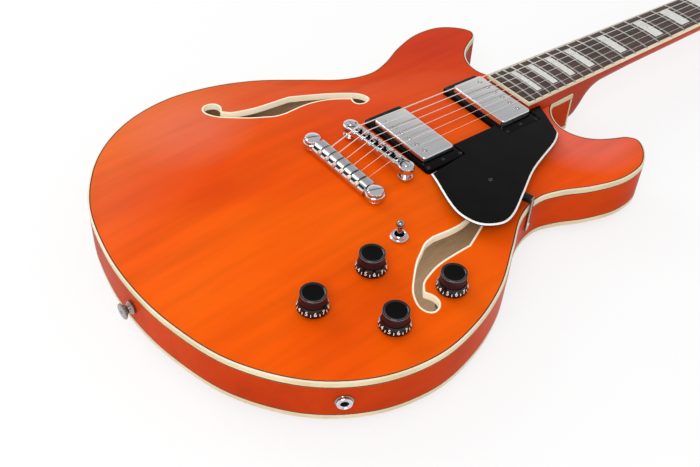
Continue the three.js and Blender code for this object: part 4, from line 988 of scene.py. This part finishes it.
WAIST_X, WAIST_Y, WAIST_TURN = 121.433, 75.4315, 15.972
on_waist = seated((WAIST_X, WAIST_Y, 0), turn_by(WAIST_TURN, "Z"))
arm_z = guard_z(WAIST_Y + 11) - GUARD_THICKNESS - GAP
arm = block("arm", (-24, -2.6, arm_z - 1.6), (2.2, 2.6, arm_z - 0.6), 0.3)
leg = block("leg", (0.6, -2.6, RIM_TOP - 27), (2.2, 2.6, arm_z), 0.4)
foot = block("foot_block", (-24, -5.5, arm_z - 4.8), (-12, 5.5, arm_z - 1.7), 0.5)
clamp = block("clamp_block", (-9, -3.8, arm_z - 4.4), (0.4, 3.8, arm_z), 0.6)
cut(clamp, [saw((-12, -2.9, arm_z - 1.9), (3, 2.9, arm_z - 0.4))])
bracket_screw = put(slot_screw, "bracket_screw", (2.2, 0, RIM_TOP - 20), turn_by(90, "Y"))
done(moved(joined([arm, leg], "guard_bracket"), on_waist), shaded_chrome,
     nodes=["pickguard_bracket"])
done(moved(joined([foot, clamp], "bracket_blocks"), on_waist), black_satin)
done(moved(bracket_screw, on_waist), chrome)

# %% [markdown]
# The bridge is a shallow metal trough that stands on two posts. Each string has its own saddle, a
# small block with a notch, moved along by a long screw whose head faces the tail.

# %% Bridge with saddles, and its posts
STRING_WIDTHS = (1.17, 0.91, 0.66, 0.43, 0.33, 0.25)
SADDLE_RISE = 4.6
SKEW = 0.055
low, high = RIM_TOP + 20, RIM_TOP + 27.2
bridge_turn = seated((0, 0, 0), Matrix.Rotation(math.atan2(1.5, POST_X), 4, "Z"))
bar = block("bridge_bar", (-POST_X, -6, low), (POST_X, 6, high), 0.7, 3)
lobe = [(3.7, 0), (6.6, 0), (7.4, 0.8), (7.4, 5.6), (6.9, 6.7), (5.8, 7.2), (3.7, 7.2)]
lobes = [turned("lobe", lobe, x, 0, low, 40, True) for x in (-POST_X, POST_X)]
cut(bar, [saw((-31, -3.6, low + 2.4), (31, 3.6, high + 2))] +
    [drill(4.4, x, 0, low - 2, high + 2) for x in (-POST_X, POST_X)])
done(moved(joined([bar, *lobes], "bridge_bar"), bridge_turn), chrome, nodes=["bridge"])
# Painted shade: a dark sheet on the trough's floor under the saddles.
shade = block("bridge_trough_painted_shade", (-30.9, -3.5, low + 2.2), (30.9, 3.5, low + 2.7))
done(moved(shade, bridge_turn), dark_slot)
saddles, screws = [], []
for string, width in enumerate(STRING_WIDTHS):
    x = string_x(string)
    y, z = SKEW * x, board_z(x, 0) + SADDLE_RISE
    notch_edge = [(-4.5, 3.0), (-3.8, 1.9), (-0.2 - width / 2, 0.15), (0, -0.1), (0.2 + width / 2, 0.15),
                  (3.8, 1.9), (4.5, 3.0), (4.5, 5.6), (-4.5, 5.6)]
    rows = [[(x + across, y + along, z - 0.6 + rise) for across, rise in notch_edge] for along in (-3, 3)]
    saddle = block("saddle", (x - 3.8, y - 1.7, low + 1.5), (x + 3.8, y + 1.7, z + 1.6))
    saddles.append(cut(saddle, [carried("saw", rows)]))
    rod = turned("screw", [(1.15, -5.2), (1.15, 5.2)], steps=14)
    head = turned("head", [(1.5, 5.2), (1.9, 5.6), (1.9, 6.4), (1.4, 6.9), (0.2, 7.0)], steps=20)
    cut(head, [saw((-2, -0.25, 6.2), (2, 0.25, 8))])
    screw_seat = seated((x, y + 0.2, high - 2.2), turn_by(90, "X"))
    screws.append(moved(joined([rod, head], "saddle_screw"), screw_seat))
done(bevelled(joined(saddles, "saddles"), 0.4), chrome)
done(joined(screws, "saddle_screws"), chrome)
for name, (x, y) in POSTS.items():
    post = turned("post", [(3.4, -16), (3.4, 12.6), (3.6, 12.8), (6.4, 12.8), (6.8, 13.2), (6.8, 15.4),
                           (6.4, 15.8), (4, 15.8), (4, 19.7), (3.4, 19.7), (3.4, 27.4), (2.9, 27.9)],
                  x, y, RIM_TOP, 40)
    turns = [seated((x, y, RIM_TOP), turn_by(step * 15, "Z")) for step in range(24)]
    cut(post, [moved(saw((6.5, -0.3, 12), (7.5, 0.3, 16.5)), turn) for turn in turns] +
        [saw((x - 4, y - 0.5, RIM_TOP + 26.9), (x + 4, y + 0.5, RIM_TOP + 29))])
    done(post, chrome, nodes=[f"bridge_post_{name}"])

# %% [markdown]
# The tailpiece is one casting: a bar with rounded back, two forked lugs, and six slots that catch
# the ball ends. Its flat top is brushed while the back is polished, and the bottoms of the slots are
# in shadow, so its faces get one of three looks.

# %% Tailpiece and its studs
profile = [(7.5, 14.9), (7.5, 20.6), (7.2, 22.4), (6.4, 23.7), (5.0, 24.35), (-0.6, 24.4), (-2.6, 23.9),
           (-4.6, 22.7), (-6.2, 21.0), (-7.2, 19.0), (-7.5, 17.2), (-7.5, 15.6), (-6.9, 14.6), (-6, 14.4),
           (6.9, 14.4)]
casting = carried("casting", [[(x, TAIL_Y + y, RIM_TOP + z) for y, z in profile]
                              for x in (-36, -35.6, 35.6, 36)])
ARM_X = 34
saws = []
for x, first, last in ((-STUD_X, -STUD_X, -ARM_X), (STUD_X, ARM_X, STUD_X)):
    lug = turned("lug", [(8.0, 16), (8.6, 16.5), (8.6, 20.4), (8.1, 21)], x, TAIL_Y, RIM_TOP)
    arm = block("arm", (first, TAIL_Y - 6, RIM_TOP + 16), (last, TAIL_Y + 6, RIM_TOP + 21), 0.5)
    cut(casting, [lug, arm], "UNION")
    saws.append(drill(4.3, x, TAIL_Y, RIM_TOP, RIM_TOP + 40))
    saws.append(saw((x - 4.3, TAIL_Y, RIM_TOP), (x + 4.3, TAIL_Y + 12, RIM_TOP + 40)))
for x in [string_x(string) for string in range(6)]:
    saws.append(saw((x - 1, TAIL_Y - 10, RIM_TOP + 20.6), (x + 1, TAIL_Y + 10, RIM_TOP + 30)))
    saws.append(saw((x - 2.2, TAIL_Y - 10, RIM_TOP + 19.4), (x + 2.2, TAIL_Y - 3.9, RIM_TOP + 30)))
done(cut(casting, saws), chrome, nodes=["tailpiece"], angle=35)
second_look(casting, satin_metal, lambda lean, x, y, z: lean > 0.97 and z > RIM_TOP + 23.8)
second_look(casting, dark_slot, lambda lean, x, y, z: lean > 0.5 and abs(x) < 34 and 19 < z - RIM_TOP < 22)
for name, (x, y) in STUDS.items():
    stud = turned("stud", [
        (4, -16), (4, 13.7), (7.2, 13.7), (7.6, 14.1), (7.6, 15.3), (7.2, 15.7), (4, 15.7), (4, 21.3),
        (7.3, 21.3), (7.6, 21.6), (7.6, 23.0), (7.1, 24.0), (5.6, 24.7), (3, 24.9)], x, y, RIM_TOP, 44)
    cut(stud, [moved(saw((-9, -0.8, 22.9), (9, 0.8, 26)), seated((x, y, RIM_TOP), turn_by(70, "Z")))])
    done(stud, chrome, nodes=[f"tailpiece_stud_{name}"])

# %% [markdown]
# Each knob is turned from clear-coated black plastic: a ribbed grip under a dished cap, on a flared
# skirt. The numbers and the ticks between them are printed on the skirt, so thin letters and strips
# are laid on its slope.

# %% Knobs
KNOB_PARTS = (
    ("skirt", [(13.0, 0), (13.2, 0.4), (13.15, 1.2), (12.6, 3.0), (12.0, 5.0), (11.5, 6.6), (11.2, 7.2),
               (8.5, 7.2), (8.5, 1.0), (8.5, 0)], ("skirt_black", "100e0e", 0.1, 0.2, 30), 0.4),
    ("grip", [(10.2, 7.2), (10.75, 7.5), (10.8, 15.2), (10.6, 15.55), (8.6, 15.55), (8.6, 7.2)],
     ("grip_brown_black", "2e171a", 0.26, 0.4, 60), 0.2),
    # A pale ring between grip and rim is a painted highlight on the clear plastic's edge.
    ("edge", [(10.3, 15.55), (10.85, 15.55), (10.9, 15.75), (10.8, 15.95), (10.3, 15.95)],
     ("edge_pale", "8d7a78", 0.15, 0.3, 60), 0.8),
    ("rim", [(8.7, 15.6), (10.3, 15.6), (10.75, 15.96), (10.7, 16.3), (10.4, 16.55), (9.9, 16.5),
             (9.2, 16.2), (8.7, 15.9)], ("rim_clear", "0a0707", 0.08, 0.16, 30), 0.5),
    ("cap", [(8.65, 15.0), (8.65, 15.75), (6, 15.6), (0.4, 15.6)],
     ("cap_black", "030303", 0.1, 0.2, 40), 0.1))
FIRST_NUMBER, NUMBER_STEP, TICK_SHIFT, SKIRT_LEAN = -135, 32.7, 16.35, 72
NUMBER_SPOT, TICK_SPOT = (0, -0.01252, 0.0037), (0, -0.01277, 0.0027)
NUMBER_SIZE, INK, SPREAD_OF_INK = 0.0048, 0.0001, 0.00008
number_white = polished("knob_number_white", "f4f0e8", 0.4, 0.5, 80, metallic=0.0)


def knob_numbers():
    marks = []
    for step in range(11):
        deselect()
        bpy.ops.object.text_add(location=(0, 0, 0))
        text = bpy.context.object.data
        text.body = str(step)
        text.size = NUMBER_SIZE
        text.extrude = INK
        text.offset = SPREAD_OF_INK
        text.resolution_u = 4
        text.align_x = text.align_y = "CENTER"
        bpy.ops.object.convert(target="MESH")
        label = bpy.context.object
        edit_all()
        bpy.ops.mesh.remove_doubles(threshold=1e-7)
        faces_out()
        tick = block("tick", (-0.3, -1.1, -0.1), (0.3, 1.1, 0.1))
        moved(tick, Matrix.Translation(-place(0, 0, 0)))
        for mark, spot, shift in ((label, NUMBER_SPOT, 0), (tick, TICK_SPOT, TICK_SHIFT)):
            turn = turn_by(step * NUMBER_STEP + FIRST_NUMBER + shift, "Z")
            marks.append(moved(mark, turn @ Matrix.Translation(spot) @ turn_by(SKIRT_LEAN, "X")))
    return joined(marks, "numbers")


def fluted(piece, x, y, near, far, depth, count):
    for vertex in piece.data.vertices:
        out = vertex.co - place(x, y, vertex.co.z * 1000)
        out.z = 0
        if near < out.length < far:
            turn = math.atan2(out.y, out.x) * count / math.pi
            vertex.co -= out.normalized() * depth * (round(turn) % 2)


numbers = knob_numbers()
looks = {part: polished(f"knob_{look[0]}", *look[1:], metallic=0.0, specular=specular,
                        coat=0.1 if part == "rim" else 0.0) for part, shape, look, specular in KNOB_PARTS}
for name, spot in KNOBS.items():
    body = f"knob_{name}"
    for part, shape, look, specular in KNOB_PARTS:
        piece = turned(f"{body}_{part}", shape, *spot, 72, part != "cap")
        if part == "grip":
            fluted(piece, *spot[:2], near=0.0105, far=0.02, depth=0.00028, count=36)
        done(piece, looks[part], body, [body] if part == "skirt" else [])
    labels = copied(numbers, f"{body}_numbers", Matrix.Translation(place(*spot)))
    done(labels, number_white, body)
bpy.data.objects.remove(numbers)

# %% [markdown]
# The toggle has a round knurled nut on a threaded bushing, and a lever that swings in a ball joint.
# The jack at the edge is a nut on a short tube, and the strap buttons are turned with a waist.

# %% Toggle, jack and strap buttons
x, y = TOGGLE
toggle_nut = turned("toggle_nut", [
    (4.3, 66.8), (7.6, 66.8), (7.8, 67.0), (7.8, 67.5), (7.4, 67.8), (6.5, 67.9), (6.7, 68.1), (6.7, 69.5),
    (6.3, 70.1), (5.7, 70.2), (5.5, 69.8), (5.2, 69.8), (5.1, 70.5), (4.8, 70.8), (4.4, 70.5)],
    x, y, closed=True)
fluted(toggle_nut, x, y, near=0.0066, far=0.0068, depth=0.0003, count=24)
toggle_can = block("toggle_can", (x - 7, y - 15, 38.4), (x + 7, y + 15, 58.2), 0.8)
bushing = turned("bushing", [(4.3, 57), (5.7, 57), (5.7, 66.9), (5.2, 67), (4.3, 67)], x, y, 0, 40, True)
joined([toggle_nut, toggle_can, bushing], "toggle_nut")
done(toggle_nut, chrome, nodes=["toggle_switch"])
lever = turned("toggle_lever", [
    (1.5, -3.6), (3.3, -2.2), (3.95, 0), (3.4, 1.9), (2.7, 3.0), (2.4, 4.2), (2.2, 13.2), (2.4, 14.6),
    (3.2, 15.6), (3.6, 17.4), (3.3, 19.2), (2.3, 20.5), (0.8, 21.1)], x, y, 63.8, 32)
done(lever, shaded_chrome, "lever", ["toggle_lever"])

for name, profile, steps, look, slot, nodes in (
        ("jack_nut", [(5.3, 0.35), (7.4, 0.35), (7.4, 0.8), (7.0, 1.2), (6.4, 1.3), (5.3, 1.3)],
         40, shaded_chrome, METAL, ["output_jack"]),
        ("jack_socket", [(3.25, -22), (5.2, -22), (5.2, 1.3), (6.2, 1.35), (6.4, 1.6), (6.4, 2.8),
                         (6.1, 3.2), (5.4, 3.3), (5.0, 2.7), (4.4, 2.7), (4.1, 3.3), (3.6, 3.3), (3.25, 2.7)],
         32, chrome, METAL, []),
        ("jack_dark_wall", [(3.2, -21.8), (3.2, 2.2), (3.05, 2.2), (3.05, -21.8)],
         24, dark_slot, PLASTIC, [])):
    done(moved(turned(name, profile, steps=steps, closed=True), JACK_SEAT), look, nodes=nodes)

BUTTON = [(5.6, 0.3), (6.0, 0.7), (6.0, 2.1), (5.4, 2.9), (4.2, 4.0), (3.6, 5.0), (3.7, 6.0), (4.8, 7.2),
          (6.6, 8.2), (7.2, 8.9), (7.2, 9.7), (6.6, 10.3), (5.0, 10.5), (2.0, 10.5)]
for name, spot, turn in (("tail", (0, -TAIL_REACH, 34.5), turn_by(90, "X")),
                         ("heel", (-27.57, 245.8, 37.5), turn_by(-90, "Y"))):
    button = turned(f"{name}_button", BUTTON)
    cut(button, [saw((-1.8, -0.35, 9.8), (1.8, 0.35, 12)), saw((-0.35, -1.8, 9.8), (0.35, 1.8, 12))])
    moved(button, seated(spot, turn))
    done(button, shaded_chrome, nodes=[f"{name}_strap_button"])

# %% [markdown]
# A tuner is a small gearbox behind the headstock. Its key turns a worm, and the worm turns the post
# fifteen times slower. One set is made at the middle and copied to the six seats.

# %% Tuners
gearbox = block("gearbox", (-8, -8, -21.5), (8, 8, -13.3), 1.4, 3)
cut(gearbox, [saw((-12, -2.6, -20.4), (12, 2.6, -15.2)), drill(3.5, 0, 0, -19.6, -10)])
lid = block("lid", (-7.4, -7.4, -22.3), (7.4, 7.4, -21.2), 0.5)
collar = turned("collar", [(3.5, -13.6), (4.6, -13.6), (4.6, 0.3), (6.3, 0.3), (6.5, 0.5), (6.5, 1.2),
                           (6.1, 1.8), (4.9, 2.3), (3.5, 2.3)], steps=40, closed=True)
gearbox = joined([gearbox, lid, collar], "tuner_model")
post = turned("post_model", [(3.2, -19.3), (3.2, 4.2), (3.0, 4.8), (2.75, 5.6), (2.75, 8.6), (3.1, 9.6),
                             (3.2, 11), (3.2, 15.6), (2.9, 16.6), (2.2, 17.0)], steps=32)
string_hole = moved(turned("saw", [(0.9, -5), (0.9, 5)], steps=16), seated((0, 0, 12), turn_by(90, "X")))
cut(post, [saw((-0.45, -4, 14.2), (0.45, 4, 18)), string_hole])
key = turned("key_model", [(2.15, -3.6), (2.15, 0.5), (3.0, 0.6), (3.0, 1.8), (2.15, 2.2), (2.0, 8.6),
                           (3.0, 9.6), (5.2, 10.0), (7.6, 10.7), (8.4, 12.0), (8.5, 13.4), (8.2, 15.2),
                           (7.0, 16.5), (5.0, 17.0), (1.0, 17.0)], steps=40)
KEY_NECK, KEY_FLATNESS = 0.0092, 7 / 8.5
for vertex in key.data.vertices:
    if vertex.co.z > KEY_NECK:
        vertex.co.y = blend(SADDLE_Y / 1000, vertex.co.y, KEY_FLATNESS)
for label, (x, y) in TUNER_SEATS.items():
    seat = on_head @ Matrix.Translation((x / 1000, y / 1000, 0))
    side = math.copysign(1, x)
    swing = seated((side * 8, 0, -17.8), turn_by(side * 90, "Y"))
    for model, name, spot, body, node_name in (
            (gearbox, "gearbox", seat, "guitar", f"tuner_housing_{label}"),
            (post, "post", seat, f"post_{label}", f"tuner_post_{label}"),
            (key, "key", seat @ swing, f"key_{label}", f"tuner_key_{label}")):
        done(copied(model, f"{name}_{label}", spot), nickel, body, [node_name])
for model in (gearbox, post, key):
    bpy.data.objects.remove(model)

# %% [markdown]
# Six strings run from the ball end in the tailpiece over a saddle and the nut to their post, and
# three times round it. The three thick ones are wound with fine wire, so they get a ribbed look
# that the plain ones don't.

# %% Strings
wound_metal, tree, shader = new_material("wound_string", "ece4d6", 0.3, metallic=0.4, specular=1.0)
ribs = node(tree, "TexWave", {"Vector": here(tree), "Scale": 900}, bands_direction="Y")
bump(tree, shader, ribs.outputs["Fac"], 0.5, 0.0001)
TURNS, COIL_STEPS, COIL_TOP, COIL_DROP = 3, 16, 8.3, 2.8
POST_WAIST, OVER_NUT, BALL_Z = 2.75, 1.4, RIM_TOP + 21.6


def circle(steps):
    return [2 * math.pi * step / steps for step in range(steps)]


def wire(name, route, radius):
    rows = []
    for index, spot in enumerate(route):
        before, after = Vector(route[max(index - 1, 0)]), Vector(route[min(index + 1, len(route) - 1)])
        along = (after - before).normalized()
        across = Vector((0, 0, 1)).cross(along).normalized()
        up = along.cross(across)
        rows.append([tuple(Vector(spot) + (across * math.cos(t) + up * math.sin(t)) * radius)
                     for t in circle(12)])
    return carried(name, rows)


for string, width in enumerate(STRING_WIDTHS):
    radius, x = width / 2, string_x(string)
    side, label = (-1, f"bass_{string + 1}") if string < 3 else (1, f"treble_{6 - string}")
    seat_x, seat_y = TUNER_SEATS[label]
    saddle_y, over = SKEW * x, board_z(x, 0) + SADDLE_RISE + radius
    nut_x = string_x(string, 36)
    nut_z = board_z(nut_x, SCALE) + OVER_NUT + radius
    wrap = POST_WAIST + radius + 0.1
    route = [(x, -43.9, BALL_Z), (x, -36, BALL_Z), (x, -32, BALL_Z + 0.2), (x, saddle_y - 3, over - 1.0),
             (x, saddle_y - 1.6, over - 0.15), (x, saddle_y, over), (x, saddle_y + 2, over),
             (nut_x, SCALE - 1, nut_z), (nut_x, SCALE + 2, nut_z), (nut_x, NUT_BACK, nut_z - 0.2)]
    for step in range(TURNS * COIL_STEPS + 1):
        angle = (math.pi if side > 0 else 0) - side * 2 * math.pi * step / COIL_STEPS
        coil_x, coil_y = seat_x + wrap * math.cos(angle), seat_y + wrap * math.sin(angle)
        coil_z = COIL_TOP - COIL_DROP * step / (TURNS * COIL_STEPS)
        route.append(measured(on_head @ place(coil_x, coil_y, coil_z)))
    ball = carried("ball", [[(x + r * math.cos(t), y, BALL_Z + r * math.sin(t)) for t in circle(20)]
                            for r, y in ((1.5, -46.9), (1.9, -46.6), (1.9, -44.2), (1.5, -43.9))])
    done(joined([wire("tube", route, radius), ball], f"wire_{6 - string}"),
         wound_metal if side < 0 else string_metal, nodes=[f"string_{6 - string}"])

# %% [markdown]
# A small plate on the headstock hides the nut of the truss rod. It is held by two screws.

# %% Truss rod cover
COVER_SHARES = [(0.5, 0), (1, 0.2), (0.95, 0.42), (0.5, 0.78), (0.22, 1)]
COVER_HALF, COVER_START, COVER_LENGTH = 10, 3.5, 38
half_cover = [(x * COVER_HALF, COVER_START + y * COVER_LENGTH) for x, y in COVER_SHARES]
cover_line = half_cover + [(-x, y) for x, y in reversed(half_cover)]
cover = carried_round("rod_cover", cover_line, [(0, GAP), (0, 1.3), (0.7, 2.3)], closed=False)
done(moved(cover, on_head), black_gloss, nodes=["truss_rod_cover"])
screws = [put(cross_screw, "cover_screw", (0, y, 2.3)) for y in (8.5, 36)]
done(moved(joined(screws, "cover_screws"), on_head), chrome)

# %% [markdown]
# The parts carried over from the drawing get the same materials as the modelled ones, so that the
# whole guitar shares one light and one finish.

# %% Materials on the carried parts
LOOKS = {"red_lacquered_sides": side_lacquer, "orange_lacquered_top": top_lacquer,
         "red_lacquered_neck": neck_lacquer, "cream_binding": cream, "raw_wood": bare_wood,
         "dark_fingerboard_wood": board_wood, "bone_white": bone, "black_plastic": black_gloss,
         "chrome_hardware": chrome, "nickel_tuners": nickel, "string_steel": string_metal,
         "bare_metal": can_metal}
slots = {part["node"]: part["material_slot"] for part in frame["record"]["subparts"]}
kept = 0
for name, piece in frame["nodes"].items():
    if piece.name in bpy.data.objects and not piece.hide_render:
        piece.data.materials.clear()
        piece.data.materials.append(LOOKS[slots[name]])
        kept += 1
print("carried parts with materials:", kept)

# %% [markdown]
# The two model screws go.

# %% Finish
for model in (slot_screw, cross_screw):
    bpy.data.objects.remove(model)
